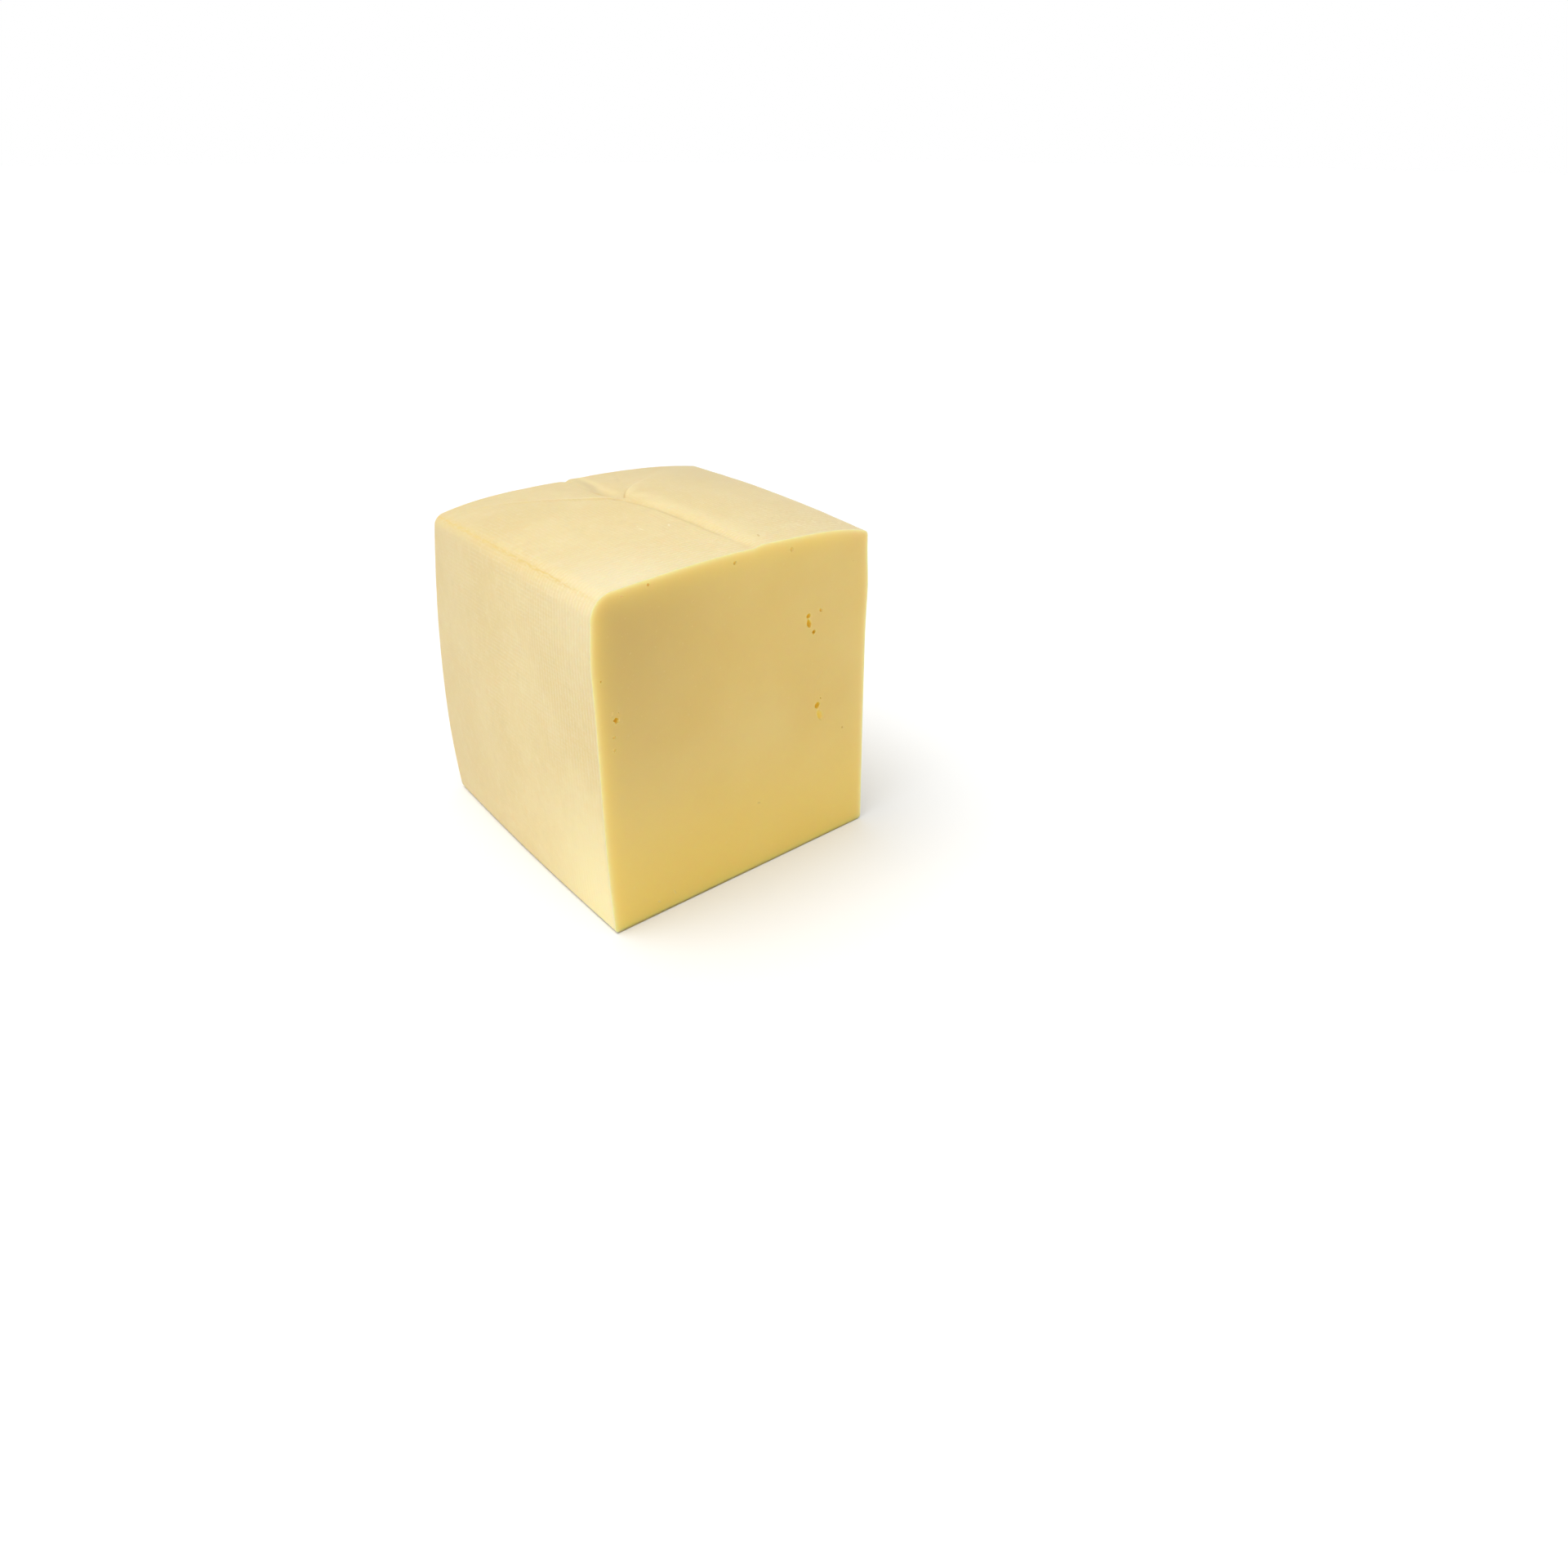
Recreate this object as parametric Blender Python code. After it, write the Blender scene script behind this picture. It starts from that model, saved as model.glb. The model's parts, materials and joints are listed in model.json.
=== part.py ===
"""Block of pale yellow semi-hard cheese: the end piece of a pressed loaf.

The loaf lies along Y and stands on its flat underside at Z = 0. Its fresh cut faces -Y and runs a few
degrees askew across the loaf. The other five faces are rind. The top is crowned and carries the marks
of the pressing cloth: a seam along the middle that forks into two diagonal folds towards the far
corners, with a dented valley between them. A few small eyes open in the cut.
"""

import math

import bmesh
import bpy
from mathutils import Matrix, Vector, noise

MM = 0.001

# Main sizes of the loaf piece
WIDTH = 100.0 * MM
LENGTH = 105.6 * MM
HEIGHT_FRONT_LEFT = 102.6 * MM
HEIGHT_FRONT_RIGHT = 100.4 * MM
HEIGHT_BACK_LEFT = 97.7 * MM
HEIGHT_BACK_RIGHT = 99.9 * MM
CUT_SKEW = math.radians(4.65)
END_SKEW = math.radians(-0.9)

# How far the sides lean and swell; the shoulder is a share of the height
LEFT_LEAN_BACK = 3.0 * MM
RIGHT_LEAN_FRONT = -2.2 * MM
RIGHT_LEAN_BACK = 0.5 * MM
LEFT_SWELL_FRONT = 1.1 * MM
LEFT_SWELL_BACK = 1.9 * MM
LEFT_BOW = 0.9 * MM
RIGHT_SWELL = -0.6 * MM
RIGHT_BOW = 0.5 * MM
BELLY_POWER = 0.9
SHOULDER = 0.6 * MM
SHOULDER_HEIGHT = 0.83
SHOULDER_SPREAD = 0.09
END_LEAN = 2.5 * MM
END_SWELL = 0.8 * MM

# Crown of the top; the peaks are shares of the half width
CROWN_FRONT = 3.0 * MM
CROWN_BACK = 3.5 * MM
CROWN_POWER = 3.2
CROWN_PEAK_FRONT = 0.26
CROWN_PEAK_BACK = -0.08
MID_RISE = 0.9 * MM

# Edge radii, looking at the cut; the broad one at the top left gets smaller towards the far end
RADIUS_TOP_LEFT = 6.5 * MM
RADIUS_TOP_LEFT_BACK = 2.7 * MM
RADIUS_TOP_RIGHT = 1.2 * MM
RADIUS_BOTTOM = 1.6 * MM
RADIUS_END = 1.6 * MM

# Seam along the top, shallow next to the cut; its groove sweeps to the left where the seam ends in the fork
SEAM_X_AT_CUT = 3.6 * MM
SEAM_X_AT_FORK = 1.9 * MM
SEAM_DRIFT_POWER = 3.0
FORK_Y = 67.5 * MM
FORK_RUN = 2.0 * MM
SEAM_DEPTH = 0.55 * MM
SEAM_HALF_WIDTH = 1.3 * MM
SEAM_SHALLOW_SHARE = 0.22
SEAM_SHALLOW_UNTIL = 22.0 * MM
GROOVE_SWEEP = 3.2 * MM
GROOVE_SWEEP_POWER = 8
BANK_HEIGHT = 0.75 * MM
BANK_RUN = 1.6 * MM
BANK_REACH = 20.0 * MM

# Diagonal folds from the fork to the far corners: y = start + rate * distance ** power, in millimetres
RIGHT_FOLD_START = Vector((1.4 * MM, 65.1 * MM))
RIGHT_FOLD_RATE = 2.9
RIGHT_FOLD_POWER = 0.65
RIGHT_FOLD_STEP = 1.1 * MM
RIGHT_FOLD_RUN = 0.8 * MM
RIGHT_FOLD_SPREAD = 0.08
LEFT_FOLD_START = Vector((0.9 * MM, 67.0 * MM))
LEFT_FOLD_RATE = 0.73
LEFT_FOLD_POWER = 1.0
LEFT_RIDGE_START = 2.0 * MM
LEFT_RIDGE_RUN = 1.5 * MM
LEFT_RIDGE_HEIGHT = 0.4 * MM
LEFT_RIDGE_HALF_WIDTH = 1.1 * MM
LEFT_TROUGH_DEPTH = 0.2 * MM
LEFT_TROUGH_OFFSET = 2.2 * MM
FOLD_FADE = 34.0 * MM

# Dented valley between the folds, and the notch and the pleat where it meets the far end
VALLEY_X = 0.8 * MM
VALLEY_DRIFT = 1.6 * MM
VALLEY_DRIFT_Y = 85.0 * MM
VALLEY_DRIFT_RUN = 4.0 * MM
VALLEY_RUN = 1.5 * MM
VALLEY_DEPTH = 1.3 * MM
VALLEY_DEEPEST_Y = 79.0 * MM
VALLEY_REACH = 14.0 * MM
VALLEY_FAR_SHARE = 0.05
VALLEY_HALF_WIDTH = 2.9 * MM
VALLEY_WIDENING = 0.10
NOTCH_X = -1.1 * MM
NOTCH_DEPTH = 0.4 * MM
NOTCH_HALF_WIDTH = 1.2 * MM
NOTCH_REACH = 9.0 * MM
NOTCH_STEP = 0.7 * MM
NOTCH_STEP_RUN = 0.5 * MM
NOTCH_STEP_REACH = 12.0 * MM
PLEAT_DEPTH = 0.5 * MM
PLEAT_HALF_WIDTH = 1.6 * MM
PLEAT_REACH = 14.0 * MM

# Uneven pressing of the rind, and the share of the height from which the top's marks begin to show
WOBBLE = 0.28 * MM
WOBBLE_LENGTH = 31.0 * MM
TOP_WOBBLE_LAYER = 0.2
MARKS_FROM = 0.8
MARKS_POWER = 3

# Mesh loops: fine where the folds are, coarse elsewhere, closer together on the rounded edges
COARSE_STEP = 5.2 * MM
UPRIGHT_STEP = 7.0 * MM
FOLD_STEP = 2.3 * MM
FOLDS_LEFT = 18.0 * MM
FOLDS_RIGHT = 84.0 * MM
FOLDS_NEAR = 62.0 * MM
CORNER_LOOPS = 5
EDGE_LOOPS = 3
SLICE_TOLERANCE = 0.001 * MM
FLAT_ENOUGH = 0.999999
SHARP_ANGLE = math.radians(40.0)

# Eyes in the cut: distance from the left edge, height, half width, half height, depth, tilt in degrees
EYES = {
    "upper_eye_top": (74.55, 79.4, 0.90, 0.85, 1.2, 0.0),
    "upper_eye_low": (74.80, 76.9, 1.05, 1.50, 1.3, -16.0),
    "pinhole_below": (76.85, 73.8, 0.78, 0.70, 1.6, 0.0),
    "pinhole_right": (79.45, 80.1, 0.75, 0.48, 0.6, -45.0),
    "lower_eye": (78.85, 49.0, 0.98, 1.20, 1.5, 20.0),
    "lower_pocket": (80.0, 45.4, 1.12, 2.25, 0.8, -27.0),
    "left_hole": (5.35, 67.4, 0.88, 0.80, 1.4, 40.0),
    "left_pit_upper": (4.25, 62.7, 0.60, 0.52, 0.7, 30.0),
    "left_pit_lower": (4.15, 58.9, 0.50, 0.62, 0.6, -20.0),
    "top_pit_middle": (46.75, 101.7, 0.65, 0.52, 0.8, -45.0),
    "top_pit_right": (67.5, 101.2, 0.75, 0.60, 0.6, 60.0),
    "top_pit_left": (17.9, 102.1, 0.42, 0.48, 0.6, -35.0),
}
EYE_SEGMENTS = 14
EYE_RINGS = 9

CHEESE_COLOUR = (0.871, 0.694, 0.366, 1.0)
CHEESE_ROUGHNESS = 0.46


def clear_scene():
    for obj in list(bpy.data.objects):
        bpy.data.objects.remove(obj, do_unlink=True)


def new_collection(name):
    collection = bpy.data.collections.new(name)
    bpy.context.scene.collection.children.link(collection)
    return collection


def cheese_material():
    material = bpy.data.materials.new("cheese_paste_and_rind")
    material.use_nodes = True
    shader = material.node_tree.nodes["Principled BSDF"]
    shader.inputs["Base Color"].default_value = CHEESE_COLOUR
    shader.inputs["Roughness"].default_value = CHEESE_ROUGHNESS
    shader.inputs["Metallic"].default_value = 0.0
    return material


def bell(distance, half_width):
    """1 in the middle of a mark, falling smoothly to 0 on both sides."""
    return math.exp(-((distance / half_width) ** 2))


def ramp(distance, run):
    """0 on the near side of a bank and 1 on its far side, over about twice the run."""
    return 0.5 + 0.5 * math.tanh(distance / run)


def fading(distance, reach):
    """1 at a mark, falling off with the distance past it."""
    return math.exp(-max(distance, 0.0) / reach)


def mix(a, b, t):
    return a + (b - a) * t


def steps(low, high, size):
    """Evenly spaced places from low to high, at most size apart, both ends included."""
    count = max(1, math.ceil((high - low - SLICE_TOLERANCE) / size))
    return [mix(low, high, i / count) for i in range(count + 1)]


def arc_steps(radius, loops):
    """Places from a face to the end of its rounded edge, closest together next to the face."""
    return [radius * (1.0 - math.cos(math.pi / 2 * i / loops)) for i in range(loops + 1)]


def loop_places():
    """Where the block is sliced along X, Y and Z, measured from its left, front and bottom faces."""
    tall = HEIGHT_FRONT_LEFT
    across = arc_steps(RADIUS_TOP_LEFT, CORNER_LOOPS)
    across += steps(RADIUS_TOP_LEFT, FOLDS_LEFT, COARSE_STEP)
    across += steps(FOLDS_LEFT, FOLDS_RIGHT, FOLD_STEP)
    across += steps(FOLDS_RIGHT, WIDTH - RADIUS_BOTTOM, COARSE_STEP)
    across += [WIDTH - place for place in arc_steps(RADIUS_BOTTOM, EDGE_LOOPS)]
    along = steps(0.0, FOLDS_NEAR, COARSE_STEP)
    along += steps(FOLDS_NEAR, LENGTH - RADIUS_END, FOLD_STEP)
    along += [LENGTH - place for place in arc_steps(RADIUS_END, EDGE_LOOPS)]
    up = arc_steps(RADIUS_BOTTOM, EDGE_LOOPS)
    up += steps(RADIUS_BOTTOM, tall - RADIUS_TOP_LEFT, UPRIGHT_STEP)
    up += [tall - place for place in arc_steps(RADIUS_TOP_LEFT, CORNER_LOOPS)]
    return across, along, up


def sliced_box():
    """A box with its left, front, bottom corner at the origin, sliced into loops on all sides."""
    bm = bmesh.new()
    size = Vector((WIDTH, LENGTH, HEIGHT_FRONT_LEFT))
    bmesh.ops.create_cube(bm, size=1.0, matrix=Matrix.Translation(size / 2) @ Matrix.Diagonal(size).to_4x4())
    for axis, places in enumerate(loop_places()):
        normal = Vector([1.0 if i == axis else 0.0 for i in range(3)])
        inner = {round(place, 7) for place in places
                 if SLICE_TOLERANCE < place < size[axis] - SLICE_TOLERANCE}
        for place in sorted(inner):
            geometry = bm.verts[:] + bm.edges[:] + bm.faces[:]
            bmesh.ops.bisect_plane(bm, geom=geometry, dist=0.1 * SLICE_TOLERANCE,
                                   plane_co=normal * place, plane_no=normal)
    return bm


def round_one_corner(from_side, from_edge, radius):
    """Moves a point that is near a square corner onto the corner's arc."""
    a = radius - from_side
    b = radius - from_edge
    if a <= 0.0 or b <= 0.0:
        return from_side, from_edge
    shrink = max(a, b) / math.hypot(a, b)
    return radius - a * shrink, radius - b * shrink


def rounded(place):
    """Rounds the long edges and the far end of the box, and leaves the cut's edges sharp."""
    x, y, z = place
    tall = HEIGHT_FRONT_LEFT
    x, top = round_one_corner(x, tall - z, mix(RADIUS_TOP_LEFT, RADIUS_TOP_LEFT_BACK, y / LENGTH))
    z = tall - top
    right, top = round_one_corner(WIDTH - x, tall - z, RADIUS_TOP_RIGHT)
    x, z = WIDTH - right, tall - top
    x, z = round_one_corner(x, z, RADIUS_BOTTOM)
    right, z = round_one_corner(WIDTH - x, z, RADIUS_BOTTOM)
    x = WIDTH - right
    past = y - (LENGTH - RADIUS_END)
    if past > 0.0:
        inset = RADIUS_END - math.sqrt(max(RADIUS_END**2 - past**2, 0.0))
        x = mix(x, WIDTH / 2, inset / (WIDTH / 2))
        z = mix(z, tall / 2, inset / (tall / 2))
    return Vector((x, y, z))


def fold_y(start, distance, rate, power):
    """Y of a diagonal fold at a distance to one side of its start."""
    return start.y + rate * MM * (max(distance, 0.0) / MM) ** power


def seam_height(x, y, before_fork):
    """The pressed seam, and the bank of the higher cheese on its right."""
    along = min(max(y / FORK_Y, 0.0), 1.0)
    from_seam = x - mix(SEAM_X_AT_CUT, SEAM_X_AT_FORK, along**SEAM_DRIFT_POWER)
    from_groove = from_seam + GROOVE_SWEEP * along**GROOVE_SWEEP_POWER
    bank = ramp(from_seam - SEAM_HALF_WIDTH, BANK_RUN) * fading(from_seam, BANK_REACH)
    open_share = mix(SEAM_SHALLOW_SHARE, 1.0, min(max(y / SEAM_SHALLOW_UNTIL, 0.0), 1.0) ** 1.5)
    groove = SEAM_DEPTH * bell(from_groove, SEAM_HALF_WIDTH) * open_share
    return (BANK_HEIGHT * bank - groove) * before_fork


def right_fold_height(to_right, past, before_fork):
    """The pillow of cheese that ends in a step along the right-hand fold."""
    pillow = (1.0 - ramp(past, RIGHT_FOLD_RUN + RIGHT_FOLD_SPREAD * to_right)) * fading(-past, BANK_REACH)
    return RIGHT_FOLD_STEP * pillow * bell(to_right, FOLD_FADE) * (1.0 - before_fork)


def left_fold_height(to_left, past):
    """The thin ridge along the left-hand fold, with a shallow trough on its near side."""
    fade = bell(to_left, FOLD_FADE) * ramp(to_left - LEFT_RIDGE_START, LEFT_RIDGE_RUN)
    ridge = LEFT_RIDGE_HEIGHT * bell(past, LEFT_RIDGE_HALF_WIDTH)
    trough = LEFT_TROUGH_DEPTH * bell(past + LEFT_TROUGH_OFFSET, LEFT_RIDGE_HALF_WIDTH)
    return (ridge - trough) * fade


def valley_height(x, y, past):
    """The dent between the two folds, and the notch with a step on its right where it reaches the far end."""
    half_width = VALLEY_HALF_WIDTH + VALLEY_WIDENING * max(y - VALLEY_DEEPEST_Y, 0.0)
    share = mix(VALLEY_FAR_SHARE, 1.0, bell(y - VALLEY_DEEPEST_Y, VALLEY_REACH))
    from_middle = x - VALLEY_X - VALLEY_DRIFT * ramp(y - VALLEY_DRIFT_Y, VALLEY_DRIFT_RUN)
    valley = VALLEY_DEPTH * ramp(past, VALLEY_RUN) * bell(from_middle, half_width) * share
    from_notch = x - NOTCH_X
    step = NOTCH_STEP * ramp(from_notch - NOTCH_STEP_RUN, NOTCH_STEP_RUN) * fading(from_notch, NOTCH_STEP_REACH)
    notch = NOTCH_DEPTH * bell(from_notch, NOTCH_HALF_WIDTH)
    return (step - notch) * fading(LENGTH - y, NOTCH_REACH) - valley


def cloth_marks(x, y):
    """Height of the seam, the folds, the valley and the notch at a place on the top."""
    before_fork = ramp(FORK_Y - y, FORK_RUN)
    to_right = x - RIGHT_FOLD_START.x
    to_left = LEFT_FOLD_START.x - x
    past_right = y - fold_y(RIGHT_FOLD_START, to_right, RIGHT_FOLD_RATE, RIGHT_FOLD_POWER)
    past_left = y - fold_y(LEFT_FOLD_START, to_left, LEFT_FOLD_RATE, LEFT_FOLD_POWER)
    height = seam_height(x, y, before_fork)
    if to_right > 0.0:
        height += right_fold_height(to_right, past_right, before_fork)
    else:
        height += left_fold_height(to_left, past_left)
    return height + valley_height(x, y, min(past_right, past_left))


def top_height(u, v):
    """Height of the crowned top. u runs from -1 at the left to 1 at the right, v from the cut to the end."""
    s = (u + 1.0) / 2.0
    front = mix(HEIGHT_FRONT_LEFT, HEIGHT_FRONT_RIGHT, s)
    back = mix(HEIGHT_BACK_LEFT, HEIGHT_BACK_RIGHT, s)
    from_peak = abs(u - mix(CROWN_PEAK_FRONT, CROWN_PEAK_BACK, v) * (1.0 - u * u))
    crown = mix(CROWN_FRONT, CROWN_BACK, v) * (1.0 - from_peak**CROWN_POWER)
    return mix(front, back, v) + crown + MID_RISE * math.sin(math.pi * v)


def side_x(side, v, w):
    """X of the left side (-1) or the right side (1) at a share v of the length and w of the height."""
    shoulder = SHOULDER * (1.0 - v) * bell(w - SHOULDER_HEIGHT, SHOULDER_SPREAD)
    belly = math.sin(math.pi * min(max(w, 0.0), 1.0) ** BELLY_POWER)
    bow = math.sin(math.pi * v)
    if side < 0:
        swell = mix(LEFT_SWELL_FRONT, LEFT_SWELL_BACK, v) * belly + LEFT_BOW * bow
        return -WIDTH / 2 + LEFT_LEAN_BACK * v * w * w - swell - shoulder
    lean = mix(RIGHT_LEAN_FRONT, RIGHT_LEAN_BACK, v) * w * w
    return WIDTH / 2 + lean + RIGHT_SWELL * belly + RIGHT_BOW * bow + shoulder


def wobble(x, y, z):
    """Slow unevenness of the rind, the same on every run."""
    return WOBBLE * noise.noise(Vector((x, y, z)) / WOBBLE_LENGTH)


def shaped(place):
    """Carries a point of the plain box to its place on the cheese."""
    box = rounded(place)
    u = 2.0 * box.x / WIDTH - 1.0
    v = box.y / LENGTH
    w = box.z / HEIGHT_FRONT_LEFT
    x = mix(side_x(-1, v, w), side_x(1, v, w), (u + 1.0) / 2.0)
    x += u * w * (1.0 - w) * 4.0 * wobble(x, box.y, box.z)
    cut_y = math.tan(CUT_SKEW) * x
    end_y = LENGTH - END_LEAN * w * w + math.tan(END_SKEW) * x
    end_y += END_SWELL * math.sin(math.pi * w) * (1.0 - u * u)
    from_top = HEIGHT_FRONT_LEFT - box.z
    end_y -= PLEAT_DEPTH * bell(x - NOTCH_X, PLEAT_HALF_WIDTH) * fading(from_top, PLEAT_REACH)
    y = mix(cut_y, end_y, v)
    marks = cloth_marks(x, y) + wobble(x, y, TOP_WOBBLE_LAYER)
    top_share = max(0.0, (w - MARKS_FROM) / (1.0 - MARKS_FROM)) ** MARKS_POWER
    return Vector((x, y, w * top_height(u, v) + top_share * marks))


def dissolve_flat_face(bm, normal):
    """Joins the loops of one flat side into a single face."""
    inside = [edge for edge in bm.edges
              if len(edge.link_faces) == 2
              and all(face.normal.dot(normal) > FLAT_ENOUGH for face in edge.link_faces)]
    bmesh.ops.dissolve_edges(bm, edges=inside, use_verts=True, use_face_split=False)


def block_object(collection, material, name):
    """The whole piece of cheese, centred over the origin on its underside."""
    bm = sliced_box()
    for vert in bm.verts:
        vert.co = shaped(vert.co)
    low = Vector([min(vert.co[i] for vert in bm.verts) for i in range(3)])
    high = Vector([max(vert.co[i] for vert in bm.verts) for i in range(3)])
    shift = Vector((-(low.x + high.x) / 2, -(low.y + high.y) / 2, -low.z))
    bmesh.ops.translate(bm, vec=shift, verts=bm.verts[:])
    bm.normal_update()
    dissolve_flat_face(bm, Vector((0.0, 0.0, -1.0)))
    dissolve_flat_face(bm, Vector((math.sin(CUT_SKEW), -math.cos(CUT_SKEW), 0.0)))
    bmesh.ops.triangulate(bm, faces=[face for face in bm.faces if len(face.verts) == 4])
    mesh = bpy.data.meshes.new(name)
    bm.to_mesh(mesh)
    bm.free()
    mesh.materials.append(material)
    mesh.shade_smooth()
    mesh.set_sharp_from_angle(angle=SHARP_ANGLE)
    block = bpy.data.objects.new(name, mesh)
    collection.objects.link(block)
    return block, shift


def eye_cutter(name, eye, shift, collection):
    """An egg-shaped cutter that opens one eye in the cut face."""
    along, height, half_width, half_height, depth, tilt = eye
    left_edge = Vector((-WIDTH / 2, -WIDTH / 2 * math.tan(CUT_SKEW), 0.0))
    across = Vector((math.cos(CUT_SKEW), math.sin(CUT_SKEW), 0.0))
    centre = left_edge + across * along * MM + Vector((0.0, 0.0, height * MM)) + shift
    turn = Matrix.Rotation(CUT_SKEW, 4, "Z") @ Matrix.Rotation(math.radians(tilt), 4, "Y")
    size = Vector((half_width, depth, half_height)) * MM
    bm = bmesh.new()
    bmesh.ops.create_uvsphere(bm, u_segments=EYE_SEGMENTS, v_segments=EYE_RINGS, radius=1.0,
                              matrix=Matrix.Translation(centre) @ turn @ Matrix.Diagonal(size).to_4x4())
    mesh = bpy.data.meshes.new(name)
    bm.to_mesh(mesh)
    bm.free()
    cutter = bpy.data.objects.new(name, mesh)
    cutter.hide_render = True
    cutter.display_type = "WIRE"
    collection.objects.link(cutter)


def open_eyes(block, cutters):
    """Takes all the eyes out of the cut face in one cut."""
    cut = block.modifiers.new("open_eyes", "BOOLEAN")
    cut.operation = "DIFFERENCE"
    cut.operand_type = "COLLECTION"
    cut.collection = cutters
    cut.solver = "EXACT"


def main():
    clear_scene()
    parts = new_collection("cheese_block")
    cutters = new_collection("eye_cutters")
    block, shift = block_object(parts, cheese_material(), "cheese_block")
    for name, eye in EYES.items():
        eye_cutter(name, eye, shift, cutters)
    open_eyes(block, cutters)


main()
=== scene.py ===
"""Looks of a block of pale yellow semi-hard cheese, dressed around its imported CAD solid.

The block is the end piece of a pressed loaf. It lies along Y with its fresh cut towards -Y, and stands on
its flat underside. The fine body repeats the solid's own shape rule at a finer step, takes the imprint of
the pressing cloth in its rind, and has its eyes, pits and knife scratches cut into the fresh face.
"""

import json
import logging
import math
from dataclasses import dataclass, field
from enum import Enum
from typing import Any, Iterable

import bmesh
import bpy
import numpy as np
from mathutils import Matrix, Vector, noise

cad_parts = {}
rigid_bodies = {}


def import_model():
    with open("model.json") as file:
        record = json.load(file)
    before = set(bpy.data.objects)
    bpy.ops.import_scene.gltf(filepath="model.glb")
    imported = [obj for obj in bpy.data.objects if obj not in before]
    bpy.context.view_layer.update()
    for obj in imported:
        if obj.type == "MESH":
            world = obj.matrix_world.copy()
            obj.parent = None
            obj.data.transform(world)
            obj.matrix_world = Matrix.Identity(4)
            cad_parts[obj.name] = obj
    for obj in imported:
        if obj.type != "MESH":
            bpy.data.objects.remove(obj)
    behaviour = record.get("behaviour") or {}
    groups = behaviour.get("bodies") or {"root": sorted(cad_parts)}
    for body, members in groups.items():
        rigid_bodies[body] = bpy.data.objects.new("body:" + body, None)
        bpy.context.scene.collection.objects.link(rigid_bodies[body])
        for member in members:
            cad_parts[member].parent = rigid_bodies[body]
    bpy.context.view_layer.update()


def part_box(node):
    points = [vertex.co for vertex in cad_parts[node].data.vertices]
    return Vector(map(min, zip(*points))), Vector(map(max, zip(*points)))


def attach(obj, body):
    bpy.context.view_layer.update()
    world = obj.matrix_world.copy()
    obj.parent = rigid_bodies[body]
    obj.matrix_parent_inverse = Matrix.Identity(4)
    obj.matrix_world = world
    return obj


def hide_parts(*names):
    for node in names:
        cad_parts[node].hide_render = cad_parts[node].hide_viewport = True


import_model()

MM = 0.001
NODE = "cheese_block"
BODY = "root"
LOG = logging.getLogger("cheese_block")

Array = np.ndarray
Colour = tuple[float, float, float]
Triple = tuple[float, float, float]
Span = tuple[float, float]


# ---------------------------------------------------------------- profiles that the pressed forms are made of


def bell(distance: Array, half_width: Any) -> Array:
    """1 in the middle of a mark, falling smoothly to 0 on both sides."""
    return np.exp(-((distance / half_width) ** 2))


def ramp(distance: Array, run: Any) -> Array:
    """0 on the near side of a bank and 1 on its far side, over about twice the run."""
    return 0.5 + 0.5 * np.tanh(distance / run)


def fading(distance: Array, reach: float) -> Array:
    """1 at a mark, falling off with the distance past it."""
    return np.exp(-np.maximum(distance, 0.0) / reach)


def mix(a: Any, b: Any, t: Any) -> Any:
    """A value between a and b, at the share t."""
    return a + (b - a) * t


def noise_at(points: Array, length: float) -> Array:
    """Smooth noise, the same on every run.

    Args:
        points: places, one row each.
        length: the size of its waves.

    Returns:
        One value from -1 to 1 for each place.
    """
    return np.array([noise.noise(Vector(point)) for point in points / length])


def steps(low: float, high: float, size: float) -> list[float]:
    """Evenly spaced places from low to high, at most size apart, both ends included."""
    count = max(1, math.ceil((high - low) / size - 1e-6))
    return [mix(low, high, i / count) for i in range(count + 1)]


def arc_steps(radius: float, loops: int) -> list[float]:
    """Places from a face to the end of its rounded edge, closest together next to the face."""
    return [radius * (1.0 - math.cos(math.pi / 2 * i / loops)) for i in range(loops + 1)]


# ---------------------------------------------------------------- shape of the loaf piece


@dataclass(frozen=True)
class EdgeRounding:
    """Radii of the block's edges, looking at the cut."""

    top_left: float = 6.5 * MM
    top_left_back: float = 2.7 * MM
    top_right: float = 1.2 * MM
    bottom: float = 1.6 * MM
    end: float = 1.6 * MM

    @staticmethod
    def corner(from_side: Array, from_edge: Array, radius: float | Array) -> tuple[Array, Array]:
        """Moves places that are near a square corner onto the corner's arc.

        Args:
            from_side: distances from one face.
            from_edge: distances from the face at right angles to it.
            radius: the corner's radius.

        Returns:
            Both distances after rounding.
        """
        a, b = radius - from_side, radius - from_edge
        near = (a > 0.0) & (b > 0.0)
        shrink = np.where(near, np.maximum(a, b) / np.maximum(np.hypot(a, b), 1e-12), 1.0)
        return radius - a * shrink, radius - b * shrink

    def soften(self, box: Array, width: float, length: float, tall: float) -> Array:
        """Rounds the long edges and the far end of the box, and leaves the cut's edges sharp.

        Args:
            box: places on the plain box, measured from its left, front, bottom corner.
            width: the box's size along X.
            length: its size along Y.
            tall: its size along Z.

        Returns:
            The places after rounding.
        """
        x, y, z = box.T
        x, top = self.corner(x, tall - z, mix(self.top_left, self.top_left_back, y / length))
        z = tall - top
        right, top = self.corner(width - x, tall - z, self.top_right)
        x, z = width - right, tall - top
        x, z = self.corner(x, z, self.bottom)
        right, z = self.corner(width - x, z, self.bottom)
        x = width - right
        past = np.maximum(y - (length - self.end), 0.0)
        inset = self.end - np.sqrt(np.maximum(self.end**2 - past**2, 0.0))
        x = mix(x, width / 2, inset / (width / 2))
        z = mix(z, tall / 2, inset / (tall / 2))
        return np.stack([x, y, z], axis=1)


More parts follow.
